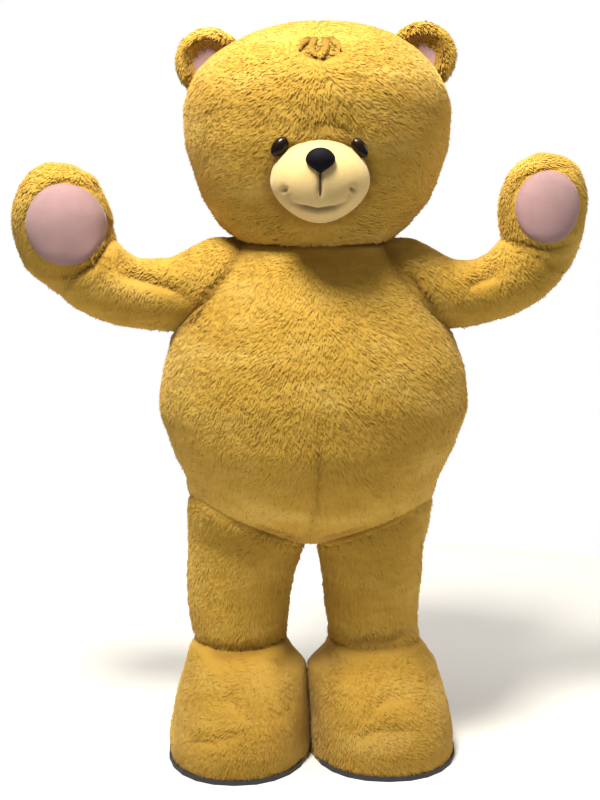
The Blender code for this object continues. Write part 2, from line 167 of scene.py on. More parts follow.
class Recipe:
    """One material, its Principled shader with its constants, and the nodes that feed it."""

    def __init__(self, name, roughness, **constants):
        self.material = bpy.data.materials.new(name)
        self.material.use_nodes = True
        self.tree = self.material.node_tree
        self.shader = self.tree.nodes["Principled BSDF"]
        self.shader.inputs["Roughness"].default_value = roughness
        for socket, value in constants.items():
            self.shader.inputs[socket.replace("_", " ")].default_value = value

    def add(self, kind, settings, sockets):
        """A node of a kind: its settings first, then its sockets' values or links."""
        node = self.tree.nodes.new(kind)
        for name, value in settings.items():
            setattr(node, name, value)
        for name, value in sockets.items():
            if isinstance(value, Number):
                self.tree.links.new(value.socket, node.inputs[name])
            elif isinstance(value, bpy.types.NodeSocket):
                self.tree.links.new(value, node.inputs[name])
            else:
                node.inputs[name].default_value = value
        return node

    def place(self, scale=(1.0, 1.0, 1.0)):
        """The point's place on the object, stretched."""
        source = self.add("ShaderNodeTexCoord", {}, {})
        mapping = self.add(
            "ShaderNodeMapping", {}, {"Vector": source.outputs["Object"], "Scale": scale}
        )
        return mapping.outputs["Vector"]

    def noise(self, scale, detail=2.0, stretch=(1.0, 1.0, 1.0)):
        """Soft random numbers over the surface."""
        sockets = {"Vector": self.place(stretch), "Scale": scale, "Detail": detail}
        return Number(self, self.add("ShaderNodeTexNoise", {}, sockets).outputs["Fac"])

    def attribute(self, name):
        """The three numbers of a point's colour attribute."""
        source = self.add("ShaderNodeAttribute", {"attribute_name": name}, {})
        parts = self.add("ShaderNodeSeparateColor", {}, {"Color": source.outputs["Color"]})
        return [Number(self, parts.outputs[index]) for index in range(3)]

    def mixed(self, share, low, high):
        """A colour between two, by a share."""
        node = self.add("ShaderNodeMix", {"data_type": "RGBA"}, {0: share, 6: low, 7: high})
        return node.outputs[2]

    def colour(self, socket):
        """Send a colour to the shader."""
        self.tree.links.new(socket, self.shader.inputs["Base Color"])

    def relief(self, height, distance, strength=1.0):
        """Small bumps whose height is a number."""
        sockets = {"Height": height, "Distance": distance, "Strength": strength}
        node = self.add("ShaderNodeBump", {}, sockets)
        self.tree.links.new(node.outputs["Normal"], self.shader.inputs["Normal"])


print("recipe ready")

# %% [markdown]
# Finishes
#
# The plush is golden at the tips and brown at the roots, where less light gets in. It is
# mottled, because the nap lies over in patches that run mostly sideways, and the tips of the
# pale patches are lighter still: partly a paler tone, partly a painted sheen. Each lock carries
# three numbers: how far along it a point is, how deep the point lies in a crease or a join,
# which is painted as shade, and a random shade of its own. Palm pads and inner ears are dusty
# pink velour, the muzzle cream velour, the nose black satin, the eyes dark and glossy, the soles
# dark and matt. The patches could be painted, but noise on the object's own coordinates needs
# no picture and stays put from every side.


# %% Plush, velour, satin, gloss and rubber
def opaque(colour, share=1.0):
    """A colour with full alpha, made darker by a share."""
    return (*(part * share for part in colour), 1.0)


GOLD_TIP = (0.60, 0.380, 0.065)
GOLD_PALE_SHEEN = (0.78, 0.58, 0.200)
GOLD_ROOT = (0.42, 0.235, 0.028)
GOLD_PAINTED_SHADE = (0.14, 0.055, 0.006)


def plush_recipe(name):
    """Golden pile: root to tip, mottled in sideways patches, with painted sheen on the pale tips and
    painted shade in the creases and joins.
    """
    recipe = Recipe(
        name,
        0.85,
        Specular_IOR_Level=0.15,
        Sheen_Weight=0.45,
        Sheen_Roughness=0.55,
        Sheen_Tint=(1.0, 0.70, 0.26, 1.0),
    )
    along, depth, own = recipe.attribute("pile")
    patches = recipe.noise(7.0, 3.0, (0.55, 0.55, 1.7))
    flecks = recipe.noise(38.0, 2.0, (0.5, 0.5, 1.6))
    tone = (along * 0.14 + patches * 1.3 + flecks * 0.6 + own * 0.18 - 0.58).held()
    gold = recipe.mixed(tone, opaque(GOLD_ROOT), opaque(GOLD_TIP))
    # partly painted sheen: the tips of the pale patches lighter still, over a paler tone
    pale = ((patches - 0.52) * 4.0).held() * along * 0.5
    gold = recipe.mixed(pale, gold, opaque(GOLD_PALE_SHEEN))
    # painted shade: darker where a point lies in a crease, a seam or a join
    recipe.colour(recipe.mixed((depth * 0.9).held(), gold, opaque(GOLD_PAINTED_SHADE)))
    return recipe


def velour_recipe(name, light, dark):
    """Short pile: a fine even nap with soft pressed patches, and painted shade in its creases and at
    its rims.
    """
    recipe = Recipe(name, 0.9, Specular_IOR_Level=0.1, Sheen_Weight=0.25, Sheen_Roughness=0.4)
    _, depth, _ = recipe.attribute("pile")
    patches = recipe.noise(16.0, 3.0)
    grain = recipe.noise(520.0, 1.0)
    tone = (patches * 0.9 + grain * 0.45 - 0.2).held()
    pile = recipe.mixed(tone, opaque(dark), opaque(light))
    # painted shade: darker in the creases, at the rims and where it meets the head
    recipe.colour(recipe.mixed(depth.held(), pile, opaque(dark, 0.35)))
    recipe.relief(grain, 0.0012, 0.6)
    return recipe


plush = plush_recipe("golden_plush").material
pink_velour = velour_recipe("pink_velour", (0.44, 0.285, 0.295), (0.33, 0.20, 0.215)).material
cream_velour = velour_recipe("cream_velour", (0.76, 0.60, 0.27), (0.60, 0.42, 0.19)).material

satin = Recipe("nose_satin", 0.70, Specular_IOR_Level=0.08)
satin_grain = satin.noise(900.0, 1.0, (1.0, 1.0, 0.15))
satin.colour(satin.mixed(satin_grain, (0.002, 0.002, 0.004, 1.0), (0.008, 0.008, 0.014, 1.0)))
satin.relief(satin_grain, 0.0004, 0.4)

gloss = Recipe("eye_gloss", 0.22, Specular_IOR_Level=0.22)
gloss_cloud = gloss.noise(60.0, 1.0)
gloss.colour(gloss.mixed(gloss_cloud, (0.004, 0.002, 0.0015, 1.0), (0.016, 0.008, 0.005, 1.0)))

rubber = Recipe("sole_rubber", 0.7)
rubber_grain = rubber.noise(300.0, 2.0)
rubber.colour(rubber.mixed(rubber_grain, (0.012, 0.013, 0.022, 1.0), (0.035, 0.036, 0.055, 1.0)))
rubber.relief(rubber_grain, 0.0006, 0.5)

thread = Recipe("dark_thread", 0.6)
thread_twist = thread.noise(700.0, 1.0)
thread.colour(thread.mixed(thread_twist, (0.035, 0.018, 0.010, 1.0), (0.10, 0.055, 0.030, 1.0)))

pale_floor = Recipe("pale_floor", 0.9)
floor_cloud = pale_floor.noise(1.5, 2.0)
pale_floor.colour(pale_floor.mixed(floor_cloud, (0.74, 0.74, 0.74, 1.0), (0.79, 0.79, 0.79, 1.0)))
print("finishes", [material.name for material in bpy.data.materials][-8:])

# %% [markdown]
# Forms from short tables
#
# A costume is a set of tubes and bags. Each is given by a few sections, a row for each, and a
# smooth curve is read through every column. The head, the body, the legs and the boots are
# level rings. The arms are rings square to a bent centre line. A maker would draft the same
# sections as widths at measured heights. Sculpting could give the forms too, but a table can be
# read, and a row of it changed.


# %% Sections and the curve between them
BODY = (
    # height, half width, reach to the front, reach to the back, centre x
    (0.604, 0.000, 0.000, 0.000, 0.000),
    (0.612, 0.085, 0.080, 0.080, 0.000),
    (0.650, 0.200, 0.185, 0.180, 0.000),
    (0.706, 0.288, 0.265, 0.235, 0.000),
    (0.768, 0.340, 0.315, 0.272, 0.000),
    (0.850, 0.387, 0.350, 0.295, 0.002),
    (0.932, 0.425, 0.366, 0.308, 0.002),
    (1.020, 0.449, 0.366, 0.315, 0.003),
    (1.110, 0.440, 0.354, 0.312, 0.005),
    (1.200, 0.412, 0.332, 0.304, 0.003),
    (1.290, 0.368, 0.300, 0.286, 0.000),
    (1.370, 0.318, 0.262, 0.260, 0.000),
    (1.430, 0.268, 0.232, 0.232, 0.000),
    (1.475, 0.222, 0.200, 0.200, 0.000),
    (1.510, 0.186, 0.172, 0.172, 0.000),
    (1.560, 0.170, 0.158, 0.158, 0.000),
)
HEAD = (
    (1.462, 0.165, 0.155, 0.155, 0.002),
    (1.480, 0.218, 0.205, 0.200, 0.003),
    (1.510, 0.258, 0.244, 0.235, 0.004),
    (1.556, 0.296, 0.280, 0.270, 0.008),
    (1.610, 0.330, 0.310, 0.302, 0.012),
    (1.683, 0.357, 0.334, 0.328, 0.013),
    (1.760, 0.378, 0.348, 0.346, 0.013),
    (1.840, 0.383, 0.350, 0.352, 0.013),
    (1.900, 0.372, 0.340, 0.346, 0.013),
    (1.950, 0.348, 0.318, 0.328, 0.013),
    (1.995, 0.310, 0.282, 0.296, 0.016),
    (2.035, 0.256, 0.232, 0.248, 0.022),
    (2.068, 0.190, 0.170, 0.184, 0.026),
    (2.088, 0.110, 0.100, 0.108, 0.026),
    (2.095, 0.000, 0.000, 0.000, 0.026),
)
LEG_RIGHT = (
    (0.3203, 0.143, 0.145, 0.144, -0.213),
    (0.360, 0.148, 0.149, 0.147, -0.216),
    (0.420, 0.155, 0.153, 0.150, -0.217),
    (0.500, 0.162, 0.160, 0.156, -0.212),
    (0.588, 0.172, 0.168, 0.162, -0.198),
    (0.663, 0.179, 0.172, 0.166, -0.190),
    (0.723, 0.176, 0.170, 0.164, -0.188),
    (0.800, 0.150, 0.150, 0.145, -0.180),
)
LEG_LEFT = (
    (0.3203, 0.142, 0.144, 0.142, 0.184),
    (0.360, 0.139, 0.142, 0.140, 0.182),
    (0.420, 0.143, 0.145, 0.143, 0.177),
    (0.500, 0.151, 0.152, 0.148, 0.178),
    (0.588, 0.159, 0.160, 0.154, 0.174),
    (0.663, 0.172, 0.166, 0.160, 0.175),
    (0.723, 0.172, 0.166, 0.160, 0.176),
    (0.800, 0.150, 0.148, 0.143, 0.172),
)
FOOT_RIGHT = (
    (0.0123, 0.202, 0.356, 0.170, -0.214),
    (0.065, 0.204, 0.360, 0.174, -0.215),
    (0.126, 0.199, 0.342, 0.174, -0.211),
    (0.186, 0.191, 0.302, 0.170, -0.206),
    (0.246, 0.178, 0.244, 0.162, -0.202),
    (0.290, 0.156, 0.184, 0.152, -0.212),
    (0.320, 0.143, 0.145, 0.144, -0.213),
)
FOOT_LEFT = (
    (0.0123, 0.208, 0.331, 0.170, 0.209),
    (0.065, 0.208, 0.333, 0.174, 0.208),
    (0.126, 0.204, 0.321, 0.174, 0.203),
    (0.186, 0.199, 0.292, 0.170, 0.192),
    (0.246, 0.189, 0.240, 0.162, 0.183),
    (0.290, 0.156, 0.184, 0.152, 0.188),
    (0.320, 0.142, 0.144, 0.142, 0.184),
)
ARM_RIGHT = (
    # centre x, y and height, half height in the arm's plane, half depth
    (-0.100, 0.000, 1.338, 0.158, 0.165),
    (-0.250, 0.000, 1.340, 0.164, 0.158),
    (-0.410, -0.005, 1.330, 0.113, 0.128),
    (-0.505, -0.010, 1.335, 0.106, 0.116),
    (-0.592, -0.020, 1.366, 0.112, 0.116),
    (-0.656, -0.030, 1.425, 0.124, 0.122),
    (-0.694, -0.036, 1.480, 0.146, 0.136),
    (-0.710, -0.040, 1.545, 0.147, 0.142),
    (-0.704, -0.040, 1.610, 0.132, 0.130),
    (-0.690, -0.040, 1.664, 0.098, 0.100),
    (-0.682, -0.040, 1.692, 0.058, 0.060),
    (-0.679, -0.040, 1.703, 0.000, 0.000),
)
ARM_LEFT = (
    (0.100, 0.000, 1.338, 0.158, 0.165),
    (0.250, 0.000, 1.340, 0.162, 0.158),
    (0.410, -0.005, 1.332, 0.106, 0.126),
    (0.497, -0.010, 1.344, 0.098, 0.114),
    (0.584, -0.022, 1.390, 0.105, 0.112),
    (0.640, -0.034, 1.466, 0.114, 0.114),
    (0.649, -0.040, 1.520, 0.124, 0.122),
    (0.652, -0.042, 1.580, 0.129, 0.126),
    (0.665, -0.042, 1.636, 0.122, 0.120),
    (0.683, -0.042, 1.690, 0.090, 0.092),
    (0.692, -0.042, 1.719, 0.052, 0.054),
    (0.695, -0.042, 1.730, 0.000, 0.000),
)
WRIST_STATION = 4.75
ROUND_POWER, TOE_POWER = 2.0, 2.2
TINY = 1e-9


def smooth_columns(rows, at):
    """Each column by a cubic through its rows; a row's slope is the harmonic mean of its sides."""
    table = np.array(rows)
    slope = np.diff(table, axis=0)
    tangent = np.zeros_like(table)
    product = slope[:-1] * slope[1:]
    rising = product > 0
    tangent[1:-1][rising] = 2.0 * product[rising] / (slope[:-1] + slope[1:])[rising]
    tangent[0] = slope[0]
    tangent[-1] = slope[-1]
    low = np.clip(np.floor(at).astype(int), 0, len(table) - 2)
    part = (at - low)[:, None]
    start, leave, arrive = table[low], tangent[low], tangent[low + 1]
    rise = table[low + 1] - start
    bend = (3.0 * rise - 2.0 * leave - arrive) * part**2
    return start + leave * part + bend + (leave + arrive - 2.0 * rise) * part**3


def upright_form(rows, at, columns, power=ROUND_POWER):
    """Level rings: x and y are a superellipse's cosine and sine powers, times half sizes."""
    height, half_width, front, back, centre = smooth_columns(rows, at).T[:, :, None]
    angle = np.arange(columns) * 2.0 * math.pi / columns
    across = np.sign(np.cos(angle)) * np.abs(np.cos(angle)) ** (2.0 / power)
    along = np.sign(np.sin(angle)) * np.abs(np.sin(angle)) ** (2.0 / power)
    x = centre + half_width * across
    y = (back - front) / 2.0 + (back + front) / 2.0 * along
    return np.stack([x, y, height + FLOOR + 0.0 * x], axis=2)


def arm_frame(rows, at):
    """Centres, half sizes, and the unit run, rise and depth at places along an arm."""
    section = smooth_columns(rows, at)
    last = len(rows) - 1.0
    step = 0.5
    ahead = smooth_columns(rows, np.clip(at + step, 0.0, last))[:, :3]
    run = ahead - smooth_columns(rows, np.clip(at - step, 0.0, last))[:, :3]
    run /= np.linalg.norm(run, axis=1, keepdims=True)
    depth = np.array([0.0, 1.0, 0.0]) - run[:, 1:2] * run
    depth /= np.linalg.norm(depth, axis=1, keepdims=True)
    centre = section[:, :3] + np.array([0.0, 0.0, FLOOR])
    return centre, section[:, 3:5], run, np.cross(depth, run), depth


def bent_form(rows, at, columns):
    """Rings square to a bent centre line: centre plus cosine of the rise, sine of the depth."""
    centre, half, _, rise, depth = arm_frame(rows, at)
    angle = np.arange(columns) * 2.0 * math.pi / columns
    return (
        centre[:, None]
        + np.cos(angle)[None, :, None] * (half[:, :1] * rise)[:, None]
        + np.sin(angle)[None, :, None] * (half[:, 1:] * depth)[:, None]
    )


def grid_normals(grid):
    """Unit normals of a grid that wraps round: the cross of the ring's and the rows' steps."""
    around = np.roll(grid, -1, axis=1) - np.roll(grid, 1, axis=1)
    along = np.gradient(grid, axis=0)
    normal = np.cross(around, along)
    for row in (0, -1):
        if np.ptp(grid[row], axis=0).max() < 1e-6:
            beside = 1 if row == 0 else -2
            normal[row] = normal[beside].mean(axis=0)
    return normal / np.maximum(np.linalg.norm(normal, axis=2, keepdims=True), TINY)


print("sections", {"body": len(BODY), "head": len(HEAD), "arm": len(ARM_LEFT)})

# %% [markdown]
# Where one piece runs under another
#
# The sleeves and legs are sewn into the body, and the head rests on the shoulders. Each
# skin needs to know how deep a point lies inside its neighbour. It is left out where it would
# be hidden. Along the line where the two meet it is drawn in a little, as a seam draws in
# plush, and near a leg, a sleeve or the other boot it swells, so that the stuffed forms run
# softly into each other. The depth comes from the same tables, as a distance from an ellipse.


# %% Depth of points inside a form
FINE = 400


def depth_in_upright(points, rows):
    """Depth inside level rings: one less the scaled radius, times the smaller half size."""
    table = smooth_columns(rows, np.linspace(0.0, len(rows) - 1.0, FINE))
    height = points[..., 2] - FLOOR
    half_width, front, back, centre = (
        np.interp(height, table[:, 0], table[:, column]) for column in range(1, 5)
    )
    half_depth = np.maximum((front + back) / 2.0, TINY)
    half_width = np.maximum(half_width, TINY)
    across = (points[..., 0] - centre) / half_width
    along = (points[..., 1] - (back - front) / 2.0) / half_depth
    depth = (1.0 - np.sqrt(across**2 + along**2)) * np.minimum(half_width, half_depth)
    beyond = np.minimum(height - table[0, 0], table[-1, 0] - height)
    return np.where(beyond < 0.0, np.minimum(beyond, depth), depth)


def depth_in_arm(points, rows):
    """Depth inside a bent tube: the same, at the nearest place on its centre line."""
    flat = points.reshape(-1, 3)
    at = np.linspace(0.0, len(rows) - 1.0, FINE // 4)
    centre, half, run, rise, depth = arm_frame(rows, at)
    away = ((flat[:, None] - centre[None]) ** 2).sum(axis=2)
    near = away.argmin(axis=1)
    offset = flat - centre[near]
    up = (offset * rise[near]).sum(axis=1)
    out = (offset * depth[near]).sum(axis=1)
    size = np.maximum(half[near], 0.01)
    inside = (1.0 - np.sqrt((up / size[:, 0]) ** 2 + (out / size[:, 1]) ** 2)) * size.min(axis=1)
    past = np.abs((offset * run[near]).sum(axis=1)) > 0.03
    return np.where(past, -0.05, inside).reshape(points.shape[:-1])


print("depth at the body's middle", depth_in_upright(np.array([0.0, 0.0, -0.4]), BODY))

# %% [markdown]
# Creases
#
# Worn plush creases where it bends or is sewn: at the armhole, across the elbow, round the
# palm pad, over the ankle, at the groin, beside the mouth. A cloth simulation would put them
# where it likes. Each is a short line given one by one instead, seen from the front or from
# behind, with its own depth and width, and it fades at both ends. A skin is drawn in along it
# by a bell curve of the distance.


# %% A crease as a soft trough
def bell(distance, width):
    """One at the line, falling off as a bell curve."""
    return np.exp(-((distance / width) ** 2))


def crease(points, normals, line, width, side):
    """How strongly a point lies on a crease: a bell of its distance, fading at the ends.

    The line's corners are x and height. Side -1 is the front and 1 the back.
    """
    path = np.array(line)
    x, height = points[..., 0], points[..., 2] - FLOOR
    lengths = np.linalg.norm(np.diff(path, axis=0), axis=1)
    total = lengths.sum()
    best = np.full(x.shape, np.inf)
    where = np.zeros(x.shape)
    passed = 0.0
    for start, end, length in zip(path[:-1], path[1:], lengths):
        run = (end - start) / length
        share = np.clip((x - start[0]) * run[0] + (height - start[1]) * run[1], 0.0, length)
        gap = np.hypot(x - start[0] - share * run[0], height - start[1] - share * run[1])
        where = np.where(gap < best, passed + share, where)
        best = np.minimum(best, gap)
        passed += length
    ends = np.clip(np.minimum(where, total - where) / (0.25 * total), 0.0, 1.0)
    facing = np.clip(normals[..., 1] * side * 3.0 + 0.3, 0.0, 1.0)
    return bell(best, width) * (0.25 + 0.75 * ends) * facing


def drawn_in(points, normals, creases):
    """Points moved in along every crease, and how deep each lies, from 0 to 1, which is painted as
    shade.
    """
    moved = points.copy()
    shade = np.zeros(points.shape[:-1])
    for line, depth, width, side, dark in creases:
        weight = crease(points, normals, line, width, side)
        moved -= normals * (weight * depth)[..., None]
        # the crease's painted shade
        shade = np.maximum(shade, weight * dark)
    return moved, shade


print("bell at one width", round(float(bell(1.0, 1.0)), 3))

# %% [markdown]
# Skins
#
# A skin is a grid of quads on its wall's form, drawn in by creases and joins, with faces left
# out where a neighbour hides them, and given two millimetres of thickness. Smoothing the
# coarse wall itself would blur its seams, so a finer grid is worked out from the same table.
# It replaces the plain wall, and the size of its cut is measured round and along the form. The
# skin lies below the wall's face by the height of the pile, so that the pile's tips reach as far
# as the solid does.


# %% Make a skin from a grid
PILE = 0.008
SKIN_THICKNESS = 0.002
HIDE_DEPTH = 0.050
JOIN_WIDTH = 0.016
JOIN_DEPTH = 0.007


def face_corners(rows, columns, wrapped):
    """Point numbers of each quad, row by row, as an array with four columns."""
    row, column = np.meshgrid(
        np.arange(rows - 1), np.arange(columns if wrapped else columns - 1), indexing="ij"
    )
    beside = (column + 1) % columns
    corners = (row * columns + column, row * columns + beside)
    above = ((row + 1) * columns + beside, (row + 1) * columns + column)
    return np.stack([*corners, *above], axis=2).reshape(-1, 4)


def quad_areas(points, corners):
    """Half the length of the cross of the diagonals."""
    a, b, c, d = (points[corners[:, index]] for index in range(4))
    return 0.5 * np.linalg.norm(np.cross(c - a, d - b), axis=1)


def mesh_object(name, points, faces, material, pile=None, smooth=True):
    """A mesh object at the origin, with its pile numbers on its points."""
    mesh = bpy.data.meshes.new(name)
    mesh.from_pydata(points.tolist(), [], faces.tolist())
    if pile is not None:
        layer = mesh.color_attributes.new("pile", "FLOAT_COLOR", "POINT")
        layer.data.foreach_set("color", np.column_stack([pile, np.ones(len(pile))]).ravel())
    if smooth:
        mesh.shade_smooth()
    mesh.materials.append(material)
    thing = bpy.data.objects.new(name, mesh)
    bpy.context.scene.collection.objects.link(thing)
    return thing


def closed_piece(name, grid, material, shade=None, node=None):
    """A closed grid as a mesh with its poles joined, which may stand for a node."""
    rows, columns = grid.shape[:2]
    shade = np.zeros((rows, columns)) if shade is None else shade
    even = np.full(rows * columns, 0.5)
    pile = np.column_stack([even, shade.ravel(), even])
    faces = face_corners(rows, columns, True)
    thing = mesh_object(name, grid.reshape(-1, 3), faces, material, pile)
    close_poles(thing)
    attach(thing, "root")
    if node:
        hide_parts(node)
    return thing


class Skin:
    """One cut piece: its grid, its normals, how deep each point lies, and what shows."""

    def __init__(self, name, grid, normals, shade, shown, wrapped):
        self.name = name
        self.rows, self.columns = grid.shape[:2]
        corners = face_corners(self.rows, self.columns, wrapped)
        self.corners = corners[shown.ravel()[corners].any(axis=1)]
        self.points = (grid - normals * PILE).reshape(-1, 3)
        self.normals = normals.reshape(-1, 3)
        self.shade = shade.ravel()
        ring = np.concatenate([grid, grid[:, :1]], axis=1) if wrapped else grid
        self.width = np.linalg.norm(np.diff(ring, axis=1), axis=2).sum(axis=1).max()
        self.length = np.linalg.norm(np.diff(grid, axis=0), axis=2).sum(axis=0).max()
        self.area = quad_areas(self.points, self.corners).sum()

    def build(self, material, node):
        """The skin as a thin shell that stands for its node."""
        used, faces = np.unique(self.corners, return_inverse=True)
        faces = faces.reshape(-1, 4)
        even = np.full(len(used), 0.2)
        pile = np.column_stack([even, self.shade[used], even])
        thing = mesh_object(self.name, self.points[used], faces, material, pile)
        close_poles(thing)
        thickness = thing.modifiers.new("cloth", "SOLIDIFY")
        thickness.thickness = SKIN_THICKNESS
        thickness.offset = -1.0
        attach(thing, "root")
        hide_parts(node)
        return thing


def close_poles(thing):
    """Join the points that coincide where a form closes."""
    edit = bmesh.new()
    edit.from_mesh(thing.data)
    bmesh.ops.remove_doubles(edit, verts=edit.verts, dist=1e-6)
    edit.to_mesh(thing.data)
    edit.free()


print("pile", PILE, "skin", SKIN_THICKNESS)

# %% [markdown]
# Pile
#
# Blender's hair would give single hairs, but it leaves no mesh in the exported model. The pile
# is made of locks instead. A lock is a small kite folded along its length like a tent: it
# starts at a root, is widest below its middle and ends in a tip. The fold makes it catch
# light from both sides. Roots are strewn evenly over the skin, each lock leans down along the
# nap, and slow waves turn neighbours the same way, so that the nap lies over in patches. On
# cloth that faces up the locks lie flatter, as brushed pile does. All the locks of a piece are
# one mesh, made from whole arrays. Their normals follow the cloth's, so the light falls on them
# as on a soft round surface.

# %% Grow locks on a skin
LOCKS_PER_SQUARE_METRE = 56000
LOCK_LENGTH = 0.0200
LOCK_WIDTH = 0.0052
LOCK_RIDGE = 0.0013
LOCK_LIFT = 0.23
WIDEST_AT = 0.42
NAP = np.array([0.0, 0.15, -1.0])
CENTRE_LINE = 0.013
PARTING = 0.12
SLOW_LENGTH, SLOW_SEED, SLOW_TURN = 0.11, 5, 0.65
QUICK_LENGTH, QUICK_SEED, QUICK_TURN = 0.035, 6, 0.45
STRAY = 0.22
LENGTH_BY_WAVE, LENGTH_BY_CHANCE = 0.25, 0.16
LENGTH_LOST_IN_CREASE = 0.35
LIFT_BY_WAVE, LIFT_BY_CHANCE = 0.11, 0.07
LIFT_LOST_ON_TOP = 0.75
LEAST_LIFT, MOST_LIFT = 0.06, 0.60
WIDTH_BY_CHANCE = 0.2
SHADE_BY_WAVE, SHADE_BY_CHANCE = 0.30, 0.18
FOLD_TURN, TIP_TURN = 0.20, 0.10
# Root, left, right and tip in a lock's own cell of its UV chart
KITE = np.array([(0.5, 0.06), (0.08, 0.46), (0.92, 0.46), (0.5, 0.94)])
KITE_CORNERS = np.array([0, 1, 3, 0, 3, 2])


def waves(points, length, seed):
    """Three smooth numbers at each point: sums of sines along random directions."""
    chance = np.random.default_rng(seed)
    total = np.zeros((len(points), 3))
    for _ in range(5):
        direction = chance.normal(size=(3, 3)) * (2.0 * math.pi / length / 1.7)
        total += np.sin(points @ direction + chance.uniform(0.0, 2.0 * math.pi, 3))
    return total / 5.0


def unit(vectors):
    """Vectors at length one."""
    return vectors / np.maximum(np.linalg.norm(vectors, axis=1, keepdims=True), TINY)


def strewn(skin, count, chance, allowed):
    """Places on a skin's quads, by area: the bilinear mean of the four corners."""
    corners = skin.corners[allowed[skin.corners].all(axis=1)]
    areas = quad_areas(skin.points, corners)
    chosen = corners[chance.choice(len(corners), count, p=areas / areas.sum())]
    u, v = chance.random((2, count, 1))
    share = ((1.0 - u) * (1.0 - v), u * (1.0 - v), u * v, (1.0 - u) * v)
    points = sum(part * skin.points[chosen[:, index]] for index, part in enumerate(share))
    normals = sum(part * skin.normals[chosen[:, index]] for index, part in enumerate(share))
    shade = sum(part[:, 0] * skin.shade[chosen[:, index]] for index, part in enumerate(share))
    return points, unit(normals), shade


def locks(name, material, points, normals, nap, lengths, widths, lifts, shade, own):
    """Kites from their roots: root, left, right and tip, two triangles each.

    A lock grows along the sine of its lift times the normal plus the cosine times the nap.
    """
    count = len(points)
    lean = unit(nap - normals * (nap * normals).sum(axis=1, keepdims=True))
    growth = unit(normals * np.sin(lifts)[:, None] + lean * np.cos(lifts)[:, None])
    side = unit(np.cross(normals, growth))
    middle = points + growth * (lengths * WIDEST_AT)[:, None] - normals * LOCK_RIDGE
    half = side * (widths * 0.5)[:, None]
    tip = points + growth * lengths[:, None]
    kite = np.stack([points, middle - half, middle + half, tip], axis=1).reshape(-1, 3)
    kite[:, 2] = np.maximum(kite[:, 2], FLOOR + 0.001)
    turned = np.stack(
        [
            normals,
            normals - FOLD_TURN * side,
            normals + FOLD_TURN * side,
            normals + TIP_TURN * lean,
        ],
        axis=1,
    ).reshape(-1, 3)
    faces = (np.arange(count)[:, None] * 4 + KITE_CORNERS).ravel()
    mesh = bpy.data.meshes.new(name)
    mesh.vertices.add(len(kite))
    mesh.vertices.foreach_set("co", kite.astype(np.float32).ravel())
    mesh.loops.add(len(faces))
    mesh.loops.foreach_set("vertex_index", faces.astype(np.int32))
    mesh.polygons.add(count * 2)
    mesh.polygons.foreach_set("loop_start", np.arange(count * 2, dtype=np.int32) * 3)
    mesh.update(calc_edges=True)
    along = np.tile([0.0, 0.55, 0.55, 1.0], count)
    pile = np.column_stack([along, np.repeat(shade, 4), np.repeat(own, 4), np.ones(count * 4)])
    layer = mesh.color_attributes.new("pile", "FLOAT_COLOR", "POINT")
    layer.data.foreach_set("color", pile.astype(np.float32).ravel())
    side_cells = math.ceil(math.sqrt(count))
    cell = np.stack([np.arange(count) % side_cells, np.arange(count) // side_cells], axis=1)
    places = (cell[:, None] + KITE[KITE_CORNERS]) / side_cells
    chart = mesh.uv_layers.new(name="OFBake")
    chart.uv.foreach_set("vector", places.astype(np.float32).ravel())
    mesh.materials.append(material)
    mesh.normals_split_custom_set_from_vertices(unit(turned).astype(np.float32))
    thing = bpy.data.objects.new(name, mesh)
    bpy.context.scene.collection.objects.link(thing)
    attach(thing, "root")
    return thing


def grow(skin, name, seed, hidden, length=LOCK_LENGTH, thick=1.0, combed=0.6):
    """Pile all over a skin, except where its points lie inside a neighbour."""
    chance = np.random.default_rng(seed)
    allowed = ~hidden.ravel()
    area = quad_areas(skin.points, skin.corners[allowed[skin.corners].all(axis=1)]).sum()
    count = int(area * LOCKS_PER_SQUARE_METRE * thick)
    points, normals, shade = strewn(skin, count, chance, allowed)
    slow = waves(points, SLOW_LENGTH, SLOW_SEED)
    quick = waves(points, QUICK_LENGTH, QUICK_SEED)
    outwards = np.tanh((points[:, :1] - CENTRE_LINE) / PARTING) * np.array([combed, 0.0, 0.0])
    down = NAP + outwards
    down = unit(down - normals * (normals * down).sum(axis=1, keepdims=True))
    nap = down + SLOW_TURN * slow + QUICK_TURN * quick + chance.normal(size=(count, 3)) * STRAY
    spread = 1.0 + LENGTH_BY_WAVE * quick[:, 0] + LENGTH_BY_CHANCE * chance.normal(size=count)
    lengths = length * spread
    lengths *= 1.0 - LENGTH_LOST_IN_CREASE * shade
    lifts = LOCK_LIFT + LIFT_BY_WAVE * quick[:, 1] + LIFT_BY_CHANCE * chance.normal(size=count)
    lifts *= 1.0 - LIFT_LOST_ON_TOP * np.clip(normals[:, 2], 0.0, 1.0)
    lifts = np.clip(lifts, LEAST_LIFT, MOST_LIFT)
    widths = LOCK_WIDTH * (1.0 + WIDTH_BY_CHANCE * chance.normal(size=count))
    own = 0.5 + SHADE_BY_WAVE * quick[:, 2] + SHADE_BY_CHANCE * chance.normal(size=count)
    own = np.clip(own, 0.0, 1.0)
    fur = locks(name, plush, points, normals, nap, lengths, widths, lifts, shade, own)
    print(name, "locks", count)
    return fur


print("a lock is", LOCK_LENGTH, "long and", LOCK_WIDTH, "wide")
